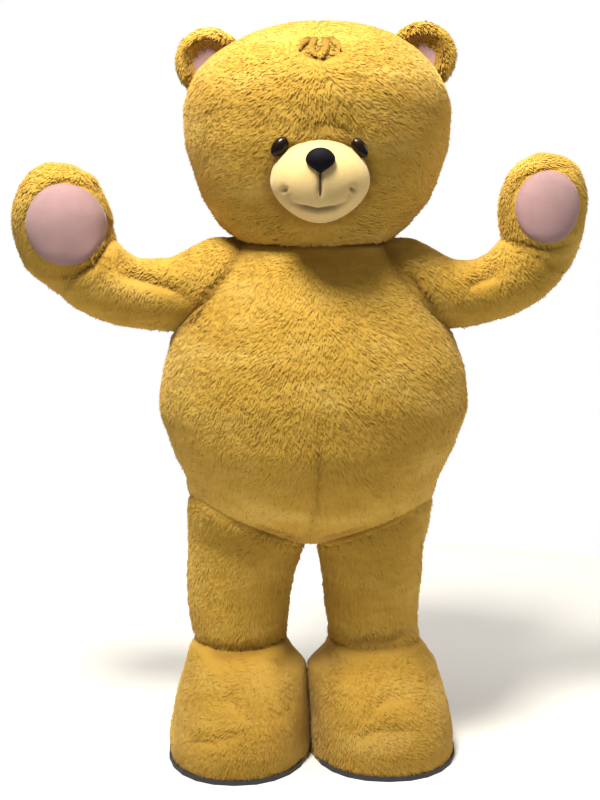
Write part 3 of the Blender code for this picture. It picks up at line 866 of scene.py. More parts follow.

# %% [markdown]
# Creases of this suit
#
# They are read off the photograph as heights and distances from the middle: the armholes, the
# elbows, the centre front, the groin, the ankles and the folds on the boots, the rims of the
# palm pads, a fold over the muzzle and the hollows round the forelock. The back isn't seen, so
# it gets the closure's seam and similar creases in other places.

# %% Creases given one by one
FRONT, BACK = -1.0, 1.0
BELOW_RIGHT_PALM = (
    (-0.785, 1.425), (-0.740, 1.383), (-0.658, 1.388),
    (-0.600, 1.420), (-0.566, 1.486), (-0.560, 1.592),
)
ABOVE_RIGHT_PALM = (
    (-0.806, 1.500), (-0.802, 1.540), (-0.772, 1.596),
    (-0.725, 1.640), (-0.681, 1.655), (-0.600, 1.632),
)
BELOW_LEFT_PALM = (
    (0.546, 1.492), (0.588, 1.474), (0.640, 1.461), (0.690, 1.464), (0.735, 1.482)
)
ABOVE_LEFT_PALM = (
    (0.542, 1.560), (0.548, 1.620), (0.581, 1.666), (0.634, 1.686), (0.700, 1.690)
)
RIGHT_ELBOW = ((-0.540, 1.431), (-0.510, 1.395), (-0.404, 1.364), (-0.332, 1.331))
CREASES = (
    # corners as x and height, depth, width, side, darkness of the painted shade
    (((-0.222, 1.430), (-0.293, 1.334), (-0.361, 1.232)), 0.012, 0.011, FRONT, 0.80),
    (((0.262, 1.408), (0.300, 1.352), (0.366, 1.262)), 0.012, 0.011, FRONT, 0.70),
    (RIGHT_ELBOW, 0.012, 0.020, FRONT, 0.50),
    (((0.520, 1.420), (0.480, 1.385), (0.420, 1.360)), 0.009, 0.020, FRONT, 0.35),
    (((0.023, 0.993), (0.010, 0.791), (-0.011, 0.660)), 0.005, 0.010, FRONT, 0.36),
    (((-0.170, 0.696), (-0.100, 0.668), (-0.030, 0.645)), 0.010, 0.013, FRONT, 0.70),
    (((0.150, 0.692), (0.090, 0.664), (0.024, 0.644)), 0.009, 0.013, FRONT, 0.55),
    (((-0.340, 0.332), (-0.260, 0.312), (-0.100, 0.330)), 0.010, 0.022, FRONT, 0.55),
    (((0.310, 0.362), (0.220, 0.345), (0.080, 0.338)), 0.010, 0.022, FRONT, 0.55),
    # painted shadow of the legs on the boots' inner tops, over shallow dents
    (((-0.110, 0.310), (-0.075, 0.240), (-0.052, 0.140)), 0.006, 0.034, FRONT, 0.45),
    (((0.085, 0.310), (0.055, 0.240), (0.040, 0.140)), 0.006, 0.034, FRONT, 0.45),
    (((-0.345, 0.112), (-0.262, 0.128), (-0.165, 0.150)), 0.006, 0.012, FRONT, 0.35),
    (((-0.300, 0.205), (-0.228, 0.222), (-0.170, 0.190)), 0.005, 0.014, FRONT, 0.25),
    (((0.110, 0.120), (0.190, 0.150), (0.290, 0.138)), 0.006, 0.012, FRONT, 0.35),
    (((0.150, 0.190), (0.215, 0.228), (0.280, 0.210)), 0.005, 0.014, FRONT, 0.25),
    (BELOW_RIGHT_PALM, 0.010, 0.011, FRONT, 0.62),
    (ABOVE_RIGHT_PALM, 0.007, 0.009, FRONT, 0.60),
    (BELOW_LEFT_PALM, 0.010, 0.010, FRONT, 0.70),
    (ABOVE_LEFT_PALM, 0.007, 0.009, FRONT, 0.60),
    (((-0.020, 1.773), (0.042, 1.786), (0.110, 1.758)), 0.006, 0.011, FRONT, 0.38),
    # painted shade in the hollows under and between the forelock's curls
    (((-0.040, 1.976), (0.010, 1.957), (0.026, 1.954), (0.072, 1.974)), 0.005, 0.010, FRONT, 0.80),
    (((-0.022, 2.000), (-0.014, 1.975)), 0.005, 0.008, FRONT, 0.90),
    (((0.016, 2.003), (0.018, 1.970)), 0.005, 0.007, FRONT, 0.95),
    (((0.052, 2.000), (0.046, 1.975)), 0.005, 0.008, FRONT, 0.90),
    (((0.000, 1.440), (0.003, 1.020), (0.000, 0.640)), 0.006, 0.009, BACK, 0.55),
    (((-0.235, 1.430), (-0.300, 1.330), (-0.352, 1.235)), 0.009, 0.012, BACK, 0.60),
    (((0.240, 1.430), (0.295, 1.335), (0.345, 1.240)), 0.010, 0.013, BACK, 0.60),
    (((-0.520, 1.420), (-0.440, 1.360), (-0.350, 1.325)), 0.011, 0.015, BACK, 0.45),
    (((0.545, 1.430), (0.470, 1.372), (0.380, 1.335)), 0.012, 0.014, BACK, 0.45),
    (((-0.290, 0.760), (-0.150, 0.712), (-0.030, 0.668)), 0.012, 0.016, BACK, 0.55),
    (((0.270, 0.752), (0.160, 0.706), (0.030, 0.662)), 0.011, 0.015, BACK, 0.55),
    (((-0.340, 0.352), (-0.230, 0.318), (-0.120, 0.330)), 0.014, 0.017, BACK, 0.50),
    (((0.310, 0.345), (0.200, 0.322), (0.110, 0.338)), 0.013, 0.018, BACK, 0.50),
    (((-0.150, 1.560), (0.020, 1.545), (0.180, 1.566)), 0.006, 0.016, BACK, 0.30),
)
print("creases", len(CREASES))

# %% [markdown]
# Body
#
# Two front and two back panels make the body. The seams run down the middle of the front, the
# sides and the middle of the back, where a costume of this kind is closed. The belly is
# held round by the padding under it, so the cloth has few folds. One barrel is formed, drawn
# in and swollen as a whole, and only then cut into its four panels, so that their edges meet.


# %% Dress a form that is made of level rings
FUR_DEPTH = 0.014
SHOULDERS = ["wearer_shoulders"]


def half_angle_slope(grid, normals, inside):
    """The tangent of half the angle between a form and its neighbour, at most a half.

    The neighbour's normal is the way its depth falls, and c is the cosine between the two
    normals. The tangent is then the root of (1 - c) / (1 + c).
    """
    step = 0.004
    falls = [inside(grid - axis) - inside(grid + axis) for axis in np.eye(3) * step]
    other = unit(np.stack(falls, axis=2).reshape(-1, 3)).reshape(grid.shape)
    cosine = np.clip((normals * other).sum(axis=2), 0.0, 1.0)
    return np.minimum(np.sqrt((1.0 - cosine) / (1.0 + cosine)), 0.5)


def dressed(grid, neighbours):
    """A form drawn in at its joins and creases: grid, normals, shade, depth inside others.

    Each neighbour gives its depth function, how dark the painted shade along the join is,
    over what distance the cloth runs smoothly from one form to the other, and the share of
    that at the sides.
    """
    normals = grid_normals(grid)
    shade = np.zeros(grid.shape[:2])
    deepest = np.full(grid.shape[:2], -1.0)
    shaped = grid.copy()
    filled = np.zeros(grid.shape[:2])
    for inside, dark, fillet, at_sides in neighbours:
        depth = inside(grid)
        weight = bell(depth, JOIN_WIDTH)
        if fillet > 0.0:
            near = np.clip(1.0 - np.abs(depth) / fillet, 0.0, 1.0)
            facing = at_sides + (1.0 - at_sides) * np.abs(normals[..., 1])
            slope = half_angle_slope(grid, normals, inside)
            filled = np.maximum(filled, near**2 * facing * slope * fillet / 2.0)
        shaped -= normals * (weight * JOIN_DEPTH * dark)[..., None]
        # painted shade along the join
        shade = np.maximum(shade, dark * weight)
        deepest = np.maximum(deepest, depth)
    shaped += normals * (filled * (1.0 - normals[..., 2] ** 4))[..., None]
    shaped, creased = drawn_in(shaped, normals, CREASES)
    return shaped, normals, np.maximum(shade, creased), deepest


def in_rings(rows):
    """A function that gives the depth of points inside level rings."""
    return lambda points: depth_in_upright(points, rows)


def in_arm(rows):
    """A function that gives the depth of points inside an arm."""
    return lambda points: depth_in_arm(points, rows)


def cut_and_sew(
    node, dressed_form, rows, columns, wrapped, seed, held="hung", rests_on=SHOULDERS, **pile
):
    """One piece out of a dressed form: its skin and its pile, in place of its node."""
    grid, normals, shade, deepest = (
        np.take(values[rows], columns, axis=1, mode="wrap") for values in dressed_form
    )
    skin = Skin("skin_" + node, grid, normals, shade, deepest < HIDE_DEPTH, wrapped)
    fur = grow(skin, "fur_" + node, seed, deepest > FUR_DEPTH, **pile)
    return skin.build(plush, node)


BODY_COLUMNS = 200
BODY_STATIONS = 110
body = dressed(
    upright_form(BODY, np.linspace(0.0, len(BODY) - 1.0, BODY_STATIONS), BODY_COLUMNS),
    (
        # depth inside, painted shade at the join, reach of the smooth run, its share at the sides
        (in_rings(LEG_RIGHT), 0.05, 0.140, 1.0),
        (in_rings(LEG_LEFT), 0.05, 0.140, 1.0),
        (in_rings(HEAD), 0.60, 0.0, 1.0),
        (in_arm(ARM_RIGHT), 0.45, 0.040, 1.0),
        (in_arm(ARM_LEFT), 0.50, 0.040, 1.0),
    ),
)
quarter = BODY_COLUMNS // 4
for turn, node in enumerate(
    ("body_back_left", "body_back_right", "body_front_right", "body_front_left")
):
    panel = np.arange(turn * quarter, (turn + 1) * quarter + 1)
    cut_and_sew(node, body, slice(None), panel, False, 100 + turn)

# %% [markdown]
# Head
#
# The head is a foam shell with plush stretched over it, in a front and a back half. It is the
# largest stiff form of the costume and has the fewest folds: one over the muzzle and small ones
# round the forelock. Its front hem hangs a little lower over the chest. The pile is combed to
# the sides of the middle line more strongly than on the body.

# %% Dress the head
HEAD_COLUMNS = 160
HEAD_STATIONS = 90
MUZZLE_PLACE = np.array([0.018, -0.292, 1.637 + FLOOR])
MUZZLE_HALF = np.array([0.131, 0.114, 0.111])


def in_ball(place, half):
    """A function that gives the depth of points inside an ellipsoid."""
    return lambda points: (1.0 - np.linalg.norm((points - place) / half, axis=-1)) * half.min()


EAR_RADIUS = 0.094
EAR_HALF_DEPTH = 0.036
EAR_PLACES = (("right", (-0.290, 0.0, 1.984)), ("left", (0.308, 0.0, 2.000)))
ear_balls = [
    in_ball(
        np.array(place) + (0.0, 0.0, FLOOR), np.array([EAR_RADIUS, EAR_HALF_DEPTH, EAR_RADIUS])
    )
    for _, place in EAR_PLACES
]
head = dressed(
    upright_form(HEAD, np.linspace(0.0, len(HEAD) - 1.0, HEAD_STATIONS), HEAD_COLUMNS),
    (
        (in_rings(BODY), 0.60, 0.0, 1.0),
        (in_arm(ARM_RIGHT), 0.40, 0.0, 1.0),
        (in_arm(ARM_LEFT), 0.40, 0.0, 1.0),
        (in_ball(MUZZLE_PLACE, MUZZLE_HALF), 0.55, 0.0, 1.0),
        *((ball, 0.55, 0.0, 1.0) for ball in ear_balls),
    ),
)
CHIN_DROP, CHIN_HEIGHT, CHIN_REACH = 0.018, 1.475, 0.050
CHIN_FRONT, CHIN_FORWARD = 0.20, 0.35
head_grid = head[0]
low = bell(np.maximum(head_grid[..., 2] - FLOOR - CHIN_HEIGHT, 0.0), CHIN_REACH)
drop = CHIN_DROP * low * np.clip(-head_grid[..., 1] / CHIN_FRONT, 0.0, 1.0)
head_grid -= drop[..., None] * np.array([0.0, CHIN_FORWARD, 1.0])
half_turn = HEAD_COLUMNS // 2
for node, first in (("head_back", 0), ("head_front", half_turn)):
    panel = np.arange(first, first + half_turn + 1)
    cut_and_sew(
        node, head, slice(None), panel, False, 200 + first, "stretched", ["head_shell"], combed=1.9
    )

# %% [markdown]
# Forelock
#
# A small tuft stands out of the forehead's pile: four curls. Longer locks alone would lie in
# the pile and vanish, so each curl is a thin horn that starts in the pile, bends on the
# forehead and narrows to its end, with short pile of its own. The horns give the tuft its
# relief, so that it throws its own small shadows, and their undersides are painted darker as
# shade.


# %% Where the forehead's surface lies
def front_of_rings(rows, x, height):
    """The y of the front of level rings: their middle less half depth times the ellipse."""
    table = smooth_columns(rows, np.linspace(0.0, len(rows) - 1.0, FINE))
    half_width, front, back, centre = (
        np.interp(height, table[:, 0], table[:, column]) for column in range(1, 5)
    )
    along = np.sqrt(np.clip(1.0 - ((x - centre) / half_width) ** 2, 0.0, 1.0))
    return (back - front) / 2.0 - (back + front) / 2.0 * along


def front_normals(rows, x, height):
    """Outward normals of that front, from its slopes across and up."""
    step = 0.002
    across = front_of_rings(rows, x + step, height) - front_of_rings(rows, x - step, height)
    up = front_of_rings(rows, x, height + step) - front_of_rings(rows, x, height - step)
    return unit(np.column_stack([across, np.full(len(x), -2.0 * step), up]))


print("forehead at", front_of_rings(HEAD, np.array([0.013]), np.array([1.98])))

# %% Four curls
CURLS = (
    # x and height of its start, its middle and its end
    ((0.000, 2.008), (-0.034, 2.000), (-0.036, 1.976)),
    ((0.010, 2.012), (-0.016, 1.988), (0.006, 1.958)),
    ((0.024, 2.012), (0.044, 1.988), (0.020, 1.954)),
    ((0.034, 2.009), (0.068, 2.000), (0.070, 1.974)),
)
CURL_RADIUS = 0.0100
CURL_STATIONS = 24
CURL_COLUMNS = 20


def curl_form(start, middle, end):
    """Rings round a quadratic curve on the forehead, whose radius goes to zero at both ends."""
    start, middle, end = (np.array(corner) for corner in (start, middle, end))
    at = np.linspace(0.0, 1.0, CURL_STATIONS)[:, None]
    place = (1.0 - at) ** 2 * start + 2.0 * at * (1.0 - at) * middle + at**2 * end
    run = 2.0 * (1.0 - at) * (middle - start) + 2.0 * at * (end - middle)
    run = unit(np.column_stack([run[:, 0], np.zeros(CURL_STATIONS), run[:, 1]]))
    outwards = front_normals(HEAD, place[:, 0], place[:, 1])
    y = front_of_rings(HEAD, place[:, 0], place[:, 1])
    centre = np.column_stack([place[:, 0], y, place[:, 1] + FLOOR]) - 0.003 * outwards
    side = unit(np.cross(run, outwards))
    radius = CURL_RADIUS * np.sqrt(np.clip(1.0 - at, 0.0, 1.0)) * np.clip(at * 5.0, 0.0, 1.0)
    turn = np.arange(CURL_COLUMNS) * 2.0 * math.pi / CURL_COLUMNS
    return (
        centre[:, None]
        + np.cos(turn)[None, :, None] * (radius * side)[:, None]
        + np.sin(turn)[None, :, None] * (radius * outwards)[:, None]
    )


for number, corners in enumerate(CURLS):
    curl_grid = curl_form(*corners)
    curl_normals = grid_normals(curl_grid)
    # painted shade on the curls' undersides
    low = np.clip(0.05 - curl_normals[..., 2], 0.0, 1.0) * 0.90
    closed_piece(f"forelock_curl_{number}", curl_grid, plush, low)
    shown = np.ones(low.shape, dtype=bool)
    # A skin sinks by the pile's height, so the horn is first moved out by as much
    surface = Skin("curl", curl_grid + PILE * curl_normals, curl_normals, low, shown, True)
    grow(surface, f"fur_curl_{number}", 250 + number, ~shown, length=0.009, thick=3.0)

# %% [markdown]
# Arms, legs and boots
#
# Each is a tube that is closed round. A sleeve and its mitt share a form and are cut apart at
# the wrist, and a leg and its boot at the ankle, with a drawn-in seam on the line. Separate
# forms would be simpler, but their edges wouldn't meet. Inside the raised wrist the rings
# crowd, so they are evened out, as stuffing does. The boots' plush is painted a little darker
# below the ankle, as shade where less light falls towards the floor.

# %% Sleeves and mitts
ARM_COLUMNS = 72
SLEEVE_STATIONS = 52
PAW_STATIONS = 56
WRIST_DEPTH, WRIST_WIDTH, WRIST_DARK = 0.004, 0.010, 0.30
BEND_STATION, BEND_REACH, BEND_ROUNDS = 5.2, 1.3, 40


def seam_ring(form, centre_row, depth, width, dark):
    """Draw a form in along one of its rings, by a bell of the distance to that ring, with painted
    shade in the seam.
    """
    grid, normals, shade, deepest = form
    steps = np.linalg.norm(np.diff(grid, axis=0), axis=2)
    passed = np.concatenate([np.zeros((1, grid.shape[1])), np.cumsum(steps, axis=0)])
    weight = bell(passed - passed[centre_row], width)
    grid = grid - normals * (weight * depth)[..., None]
    return grid, normals, np.maximum(shade, weight * dark), deepest


def soft_bend(grid, at, upwards):
    """Even out the rings where they crowd inside the bend: each goes towards its neighbours."""
    turn = np.arange(grid.shape[1]) * 2.0 * math.pi / grid.shape[1]
    inner = np.clip(upwards * np.cos(turn) + 0.2, 0.0, 1.0)
    share = 0.5 * (bell(at - BEND_STATION, BEND_REACH)[:, None] * inner)[1:-1, :, None]
    for _ in range(BEND_ROUNDS):
        middle = (grid[:-2] + grid[2:]) / 2.0
        grid[1:-1] += share * (middle - grid[1:-1])
    return grid


mitts = {}
for side, rows, upwards, seed in (("right", ARM_RIGHT, 1.0, 300), ("left", ARM_LEFT, -1.0, 310)):
    at = np.concatenate([
        np.linspace(0.0, WRIST_STATION, SLEEVE_STATIONS),
        np.linspace(WRIST_STATION, len(rows) - 1.0, PAW_STATIONS)[1:],
    ])
    form = soft_bend(bent_form(rows, at, ARM_COLUMNS), at, upwards)
    arm = dressed(form, ((in_rings(BODY), 0.45, 0.040, 1.0), (in_rings(HEAD), 0.5, 0.0, 1.0)))
    arm = seam_ring(arm, SLEEVE_STATIONS - 1, WRIST_DEPTH, WRIST_WIDTH, WRIST_DARK)
    mitts[side] = [part[SLEEVE_STATIONS - 10 :] for part in arm[:2]]
    around = np.arange(ARM_COLUMNS)
    cut_and_sew("sleeve_" + side, arm, slice(0, SLEEVE_STATIONS), around, True, seed)
    cut_and_sew("paw_" + side, arm, slice(SLEEVE_STATIONS - 1, None), around, True, seed + 1)

# %% Legs and boots
LEG_COLUMNS = 72
LEG_STATIONS = 44
FOOT_STATIONS = 32
ANKLE_DEPTH, ANKLE_WIDTH, ANKLE_DARK = 0.004, 0.014, 0.40
GROUND_SHADE_BELOW, GROUND_SHADE_OVER, GROUND_SHADE_DARK = 0.36, 0.10, 0.30
for side, leg_rows, foot_rows, other_foot, seed in (
    ("right", LEG_RIGHT, FOOT_RIGHT, FOOT_LEFT, 400),
    ("left", LEG_LEFT, FOOT_LEFT, FOOT_RIGHT, 410),
):
    at = np.linspace(0.0, len(foot_rows) - 1.0, FOOT_STATIONS)
    squareness = np.linspace(TOE_POWER, ROUND_POWER, FOOT_STATIONS)[:, None]
    foot = upright_form(foot_rows, at, LEG_COLUMNS, squareness)
    leg = upright_form(leg_rows, np.linspace(0.0, len(leg_rows) - 1.0, LEG_STATIONS), LEG_COLUMNS)
    whole = dressed(
        np.concatenate([foot, leg[1:]]),
        # painted shade in the cleft between the boots
        ((in_rings(BODY), 0.05, 0.190, 0.0), (in_rings(other_foot), 1.0, 0.078, 1.0)),
    )
    whole = seam_ring(whole, FOOT_STATIONS - 1, ANKLE_DEPTH, ANKLE_WIDTH, ANKLE_DARK)
    # painted shade: the boots darker towards the ground, where less light falls
    ground_shade = np.clip((GROUND_SHADE_BELOW + FLOOR - whole[0][..., 2]) / GROUND_SHADE_OVER, 0.0, 1.0) * GROUND_SHADE_DARK
    whole = (*whole[:2], np.maximum(whole[2], ground_shade), whole[3])
    around = np.arange(LEG_COLUMNS)
    cut_and_sew("foot_" + side, whole, slice(0, FOOT_STATIONS), around, True, seed)
    cut_and_sew("leg_" + side, whole, slice(FOOT_STATIONS - 1, None), around, True, seed + 1)

# %% [markdown]
# Soft pieces that are laid on
#
# Ears, palm pads and muzzle are small stuffed or laid pieces. Inflating a cut cover by
# simulation is the way for a cushion. These are so small and so tightly filled that their form
# is plain: a section turned round an axis, a disc that follows the mitt, an ellipsoid. Each is
# a closed grid.

# %% Closed pieces
EAR_SECTION = (
    # radius, distance along the ear's axis
    (0.000, -0.010),
    (0.024, -0.012),
    (0.043, -0.018),
    (0.056, -0.028),
    (0.072, -0.038),
    (0.090, -0.032),
    (0.102, -0.006),
    (0.096, 0.018),
    (0.066, 0.034),
    (0.000, 0.040),
)


def turned_form(section, columns):
    """A section of radius and y, turned round the Y axis."""
    radius, along = np.array(section).T[:, :, None]
    angle = np.arange(columns) * 2.0 * math.pi / columns
    return np.stack(
        [radius * np.cos(angle), along + 0.0 * angle, -radius * np.sin(angle)], axis=2
    )


def dome_form(half, stations, columns):
    """A whole ellipsoid, in rings round its Y axis from the front to the back."""
    turn = np.linspace(0.0, math.pi, stations)
    section = np.stack([np.sin(turn), -np.cos(turn)], axis=1)
    return turned_form(section, columns) * np.array(half)


def laid_on(face, node):
    """Work out the area of a pad's face, which is not kept; the piece it lies on is not used."""
    corners = face_corners(*face.shape[:2], True)
    area = quad_areas(face.reshape(-1, 3), corners).sum()


print("ear section", len(EAR_SECTION))

# %% [markdown]
# Ears
#
# An ear is a padded ring with a dished front, sewn to the head's side. Its section is turned
# round the ear's own axis. The pile grows on the ring and over the dish's rim, and a disc of
# velour lies in the middle of the dish. The plush is painted darker as shade deep in the dish
# and at the head, and the velour is painted darker as shade in the dish and at its rim.

# %% Ears
EAR_STATIONS = 60
EAR_COLUMNS = 96
LINING_STATION = 3.0
DISH_STATION, DISH_RADIUS, DISH_MIDDLE, DISH_SLOPE = 4.0, 0.072, 0.045, 0.027
DISH_DARK, DISH_RIM, DISH_FADE = 0.60, 0.080, 0.025
EAR_JOIN_DARK, EAR_JOIN_WIDTH = 0.7, 0.014
ROOTS_RADIUS, ROOTS_RISE = 0.060, 0.003
LINING_PROUD, LINING_THICKNESS, LINING_RADIUS = 0.0035, 0.003, 0.056
LINING_DARK, LINING_RIM_DARK = 0.26, 0.5
PINK_SHOWS = (
    # side, half width and half height of the velour that the pile leaves bare
    ("right", 0.043, 0.046),
    ("left", 0.036, 0.036),
)
ear_at = np.linspace(0.0, len(EAR_SECTION) - 1.0, EAR_STATIONS)
ear_form = turned_form(smooth_columns(EAR_SECTION, ear_at), EAR_COLUMNS)
ear_normals = grid_normals(ear_form)
ear_radius = np.hypot(ear_form[..., 0], ear_form[..., 2])
in_front = (ear_at < DISH_STATION)[:, None]
in_dish = in_front & (ear_radius < DISH_RADIUS)
risen = np.clip((ear_radius - DISH_MIDDLE) / DISH_SLOPE, 0.0, 1.0)
sunk = np.where(in_dish, PILE * risen, PILE)
for (side, place), (_, pink_width, pink_height) in zip(EAR_PLACES, PINK_SHOWS):
    centre = np.array(place) + (0.0, 0.0, FLOOR)
    shaped = ear_form - ear_normals * sunk[..., None] + centre
    ear_depth = np.maximum(depth_in_upright(shaped, HEAD), -0.2)
    # painted shade deep in the dish and where the ear meets the head
    dish = in_dish * np.clip((DISH_RIM - ear_radius) / DISH_FADE, 0.0, 1.0)
    shade = np.maximum(EAR_JOIN_DARK * bell(ear_depth, EAR_JOIN_WIDTH), DISH_DARK * dish)
    ear = closed_piece("padded_ear_" + side, shaped, plush, shade, "ear_" + side)
    bare = (ear_form[..., 0] / pink_width) ** 2 + (ear_form[..., 2] / pink_height) ** 2 < 1.0
    open_dish = bare & in_front
    roots = np.where(in_dish & (ear_radius < ROOTS_RADIUS), -ROOTS_RISE, sunk)
    rooted = ear_form - ear_normals * (roots - PILE)[..., None] + centre
    surface = Skin("ear", rooted, ear_normals, shade, np.ones(shade.shape, dtype=bool), True)
    grow(surface, "fur_ear_" + side, 500 + len(side), open_dish | (ear_depth > FUR_DEPTH), thick=1.1)
    lining_at = np.linspace(0.0, LINING_STATION, 24)
    lining_face = turned_form(smooth_columns(EAR_SECTION, lining_at), EAR_COLUMNS)
    lining_face[..., 1] -= LINING_PROUD
    lining_back = lining_face + (0.0, LINING_THICKNESS, 0.0)
    lining = np.concatenate([lining_face, lining_back[::-1]]) + centre
    lining_radius = np.hypot(lining_face[..., 0], lining_face[..., 2])
    # painted shade: the lining a little darker all over in the dish's hollow, darker at its rim
    rim = np.clip(lining_radius / LINING_RADIUS, 0.0, 1.0) ** 4
    shade = np.concatenate([rim, rim[::-1]]) * LINING_RIM_DARK + LINING_DARK
    node = "inner_ear_" + side
    pad = closed_piece("lining_ear_" + side, lining, pink_velour, shade, node)
    laid_on(lining_face, "ear_" + side)

# %% [markdown]
# Palm pads
#
# A palm pad is a rounded patch of velour over thin padding, sewn to the mitt all round. It
# could be cut out of the mitt's own grid, but its edge would then follow the grid's steps.
# Rings of points are laid on the mitt's front instead, raised inside and sunk at the edge.

# %% Palm pads
PALM_PLACES = (
    # side, centre x, centre height, half width, half height
    ("right", -0.683, 1.525, 0.111, 0.115),
    ("left", 0.649, 1.574, 0.091, 0.102),
)
PALM_RINGS = 30
PALM_SPOKES = 96
PALM_LIFT = 0.007
PALM_EDGE = -0.005
PALM_THICKNESS = 0.003
NEARNESS = 0.009
SIDE_LIMIT, SLOPE_LIMIT = 0.15, -0.25


def front_surface(grid, normals, x, height):
    """Points and normals of a form's front: means by nearness, then along the tangent plane."""
    front = normals[..., 1] < SIDE_LIMIT
    points, facing = grid[front], normals[front]
    far = (points[:, 0] - x.reshape(-1, 1)) ** 2 + (points[:, 2] - height.reshape(-1, 1)) ** 2
    weight = np.exp(-far / NEARNESS**2) + TINY
    weight /= weight.sum(axis=1, keepdims=True)
    mean, normal = weight @ points, unit(weight @ facing)
    off_x, off_height = x.ravel() - mean[:, 0], height.ravel() - mean[:, 2]
    off_plane = normal[:, 0] * off_x + normal[:, 2] * off_height
    slope = off_plane / np.minimum(normal[:, 1], SLOPE_LIMIT)
    place = np.column_stack([x.ravel(), mean[:, 1] - slope, height.ravel()])
    return place.reshape(*x.shape, 3), normal.reshape(*x.shape, 3)


for side, centre_x, centre_height, half_width, half_height in PALM_PLACES:
    share = np.linspace(0.0, 1.0, PALM_RINGS)[:, None]
    angle = np.arange(PALM_SPOKES) * 2.0 * math.pi / PALM_SPOKES
    x = centre_x + share * half_width * np.cos(angle)
    height = centre_height + FLOOR - share * half_height * np.sin(angle)
    place, normal = front_surface(*mitts[side], x, height)
    swell = PALM_EDGE + (PALM_LIFT - PALM_EDGE) * np.sqrt(np.clip(1.0 - share**6, 0.0, 1.0))
    face = place + normal * swell[..., None]
    under = face - normal * PALM_THICKNESS
    # painted shade towards the pad's sunk rim
    shade = np.concatenate([share**10, share[::-1] ** 10]) * 0.5 * np.ones(PALM_SPOKES)
    both = np.concatenate([face, under[::-1]])
    node = "palm_pad_" + side
    pad = closed_piece("velour_palm_" + side, both, pink_velour, shade, node)
    laid_on(face, "paw_" + side)

# %% [markdown]
# Muzzle
#
# The muzzle is a ball of foam under cream velour, narrower below, with a smile that is drawn
# in by stitches. The smile, its dimples and the groove of the middle stitch are creases like
# those of the suit, only finer, and a low ridge makes the lower lip.

# %% Muzzle
SMILE = ((-0.062, 1.578), (-0.036, 1.566), (0.011, 1.556), (0.058, 1.563), (0.086, 1.578))
STITCH = ((0.016, 1.668), (0.016, 1.640), (0.016, 1.585))
FACE_CREASES = (
    (SMILE, 0.009, 0.0055, FRONT, 1.00),
    (((-0.040, 1.552), (0.011, 1.542), (0.060, 1.550)), -0.003, 0.010, FRONT, 0.0),
    (STITCH, 0.007, 0.008, FRONT, 0.35),
    (((-0.079, 1.614), (-0.077, 1.608), (-0.075, 1.602)), 0.009, 0.009, FRONT, 0.70),
    (((0.099, 1.603), (0.101, 1.608), (0.103, 1.614)), 0.009, 0.009, FRONT, 0.75),
    (((-0.070, 1.598), (-0.066, 1.588), (-0.062, 1.578)), 0.004, 0.008, FRONT, 0.25),
    (((0.096, 1.598), (0.092, 1.590), (0.088, 1.584)), 0.004, 0.008, FRONT, 0.25),
)
MUZZLE_TAPER = 0.20
muzzle_grid = dome_form(MUZZLE_HALF, 90, 128)
low = np.clip(-muzzle_grid[..., 2] / MUZZLE_HALF[2], 0.0, 1.0)
muzzle_grid[..., 0] *= 1.0 - MUZZLE_TAPER * low**2
muzzle_grid += MUZZLE_PLACE
muzzle_normals = grid_normals(muzzle_grid)
# the smile, the dimples and the stitch's groove get painted shade in their troughs
muzzle_grid, muzzle_shade = drawn_in(muzzle_grid, muzzle_normals, FACE_CREASES)
# painted shade where the muzzle meets the head
muzzle_shade = np.maximum(muzzle_shade, 0.35 * bell(depth_in_upright(muzzle_grid, HEAD), 0.008))
muzzle = closed_piece(
    "velour_muzzle", muzzle_grid, cream_velour, muzzle_shade, "muzzle"
)
print("muzzle", muzzle.name, "creases", len(FACE_CREASES))

# %% [markdown]
# Nose, eyes and stitching
#
# The nose is satin over a hard three-cornered form: an ellipsoid narrowed below. The eyes are
# hard glossy ovals that lean towards each other, half sunk in the head. A dark thread runs
# from the nose down to the smile. It is a thin tube on the muzzle's curve, since a painted line
# would have no thickness in the exported mesh.

# %% Nose, eyes and thread
NOSE_PLACE = np.array([0.017, -0.400, 1.682 + FLOOR])
NOSE_HALF = (0.038, 0.025, 0.032)
EYES = (
    # side, x, height, half across, half along, lean
    ("right", -0.088, 1.722, 0.019, 0.029, 0.70),
    ("left", 0.120, 1.719, 0.018, 0.029, -0.62),
)
EYE_DEPTH, EYE_PROUD = 0.016, 0.002
NOSE_TAPER = 0.62
nose_grid = dome_form(NOSE_HALF, 48, 64)
low = np.clip(-nose_grid[..., 2] / NOSE_HALF[2], 0.0, 1.0)
nose_grid[..., 0] *= 1.0 - NOSE_TAPER * low**1.5
closed_piece("satin_nose", nose_grid + NOSE_PLACE, satin.material, node="nose")

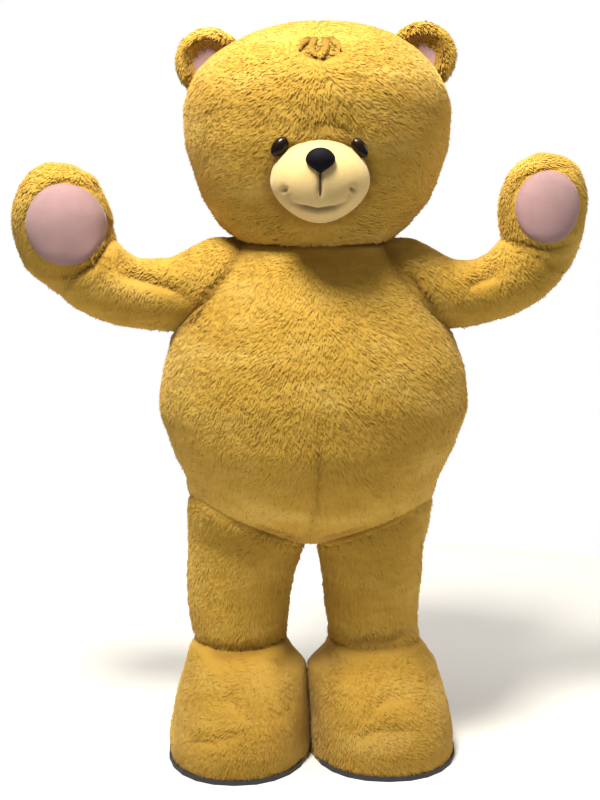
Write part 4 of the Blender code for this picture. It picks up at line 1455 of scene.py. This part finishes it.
for side, x, height, half_across, half_along, lean in EYES:
    eye_grid = dome_form((half_across, EYE_DEPTH, half_along), 40, 48)
    turned = eye_grid.copy()
    turned[..., 0] = math.cos(lean) * eye_grid[..., 0] + math.sin(lean) * eye_grid[..., 2]
    turned[..., 2] = math.cos(lean) * eye_grid[..., 2] - math.sin(lean) * eye_grid[..., 0]
    place = (x, front_of_rings(HEAD, x, height) + EYE_PROUD, height + FLOOR)
    name, node = "glossy_eye_" + side, "eye_" + side
    closed_piece(name, turned + place, gloss.material, node=node)

THREAD_X, THREAD_TOP, THREAD_FOOT = 0.016, 1.668, 1.580
THREAD_RADIUS, THREAD_SINK = 0.0030, 0.005
THREAD_STATIONS, THREAD_COLUMNS = 40, 10
thread_height = np.linspace(THREAD_TOP, THREAD_FOOT, THREAD_STATIONS) + FLOOR
offset = (thread_height - MUZZLE_PLACE[2]) / MUZZLE_HALF[2]
bulge = MUZZLE_HALF[1] * np.sqrt(np.clip(1.0 - offset**2, 0.0, 1.0))
thread_y = MUZZLE_PLACE[1] - bulge + THREAD_SINK
angle = np.arange(THREAD_COLUMNS) * 2.0 * math.pi / THREAD_COLUMNS
rounded = np.sin(np.linspace(0.0, math.pi, THREAD_STATIONS))
taper = np.sqrt(np.clip(rounded, 0.0, 1.0))[:, None] * THREAD_RADIUS
thread_grid = np.stack(
    [
        THREAD_X + taper * np.cos(angle),
        thread_y[:, None] - taper * np.sin(angle),
        thread_height[:, None] + 0.0 * angle,
    ],
    axis=2,
)
closed_piece("mouth_thread", thread_grid, thread.material)
print("nose", NOSE_HALF, "eyes", len(EYES), "thread", THREAD_RADIUS)

# %% [markdown]
# Soles and floor
#
# The soles are the solids themselves, with a dark rubber finish: they are flat plates, and a
# finer mesh would look the same. The floor is a pale disc, large enough for the shadows.

# %% Soles and floor
for side in ("right", "left"):
    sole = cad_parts["sole_" + side]
    for slot_of_sole in sole.material_slots:
        slot_of_sole.material = rubber.material

FLOOR_RADIUS = 2.6
angle = np.arange(96) * 2.0 * math.pi / 96
edge = np.stack(
    [FLOOR_RADIUS * np.cos(angle), FLOOR_RADIUS * np.sin(angle), np.full(96, FLOOR)], axis=1
)
floor = mesh_object("studio_floor", edge, np.arange(96)[None], pale_floor.material, smooth=False)
print("floor radius", FLOOR_RADIUS)
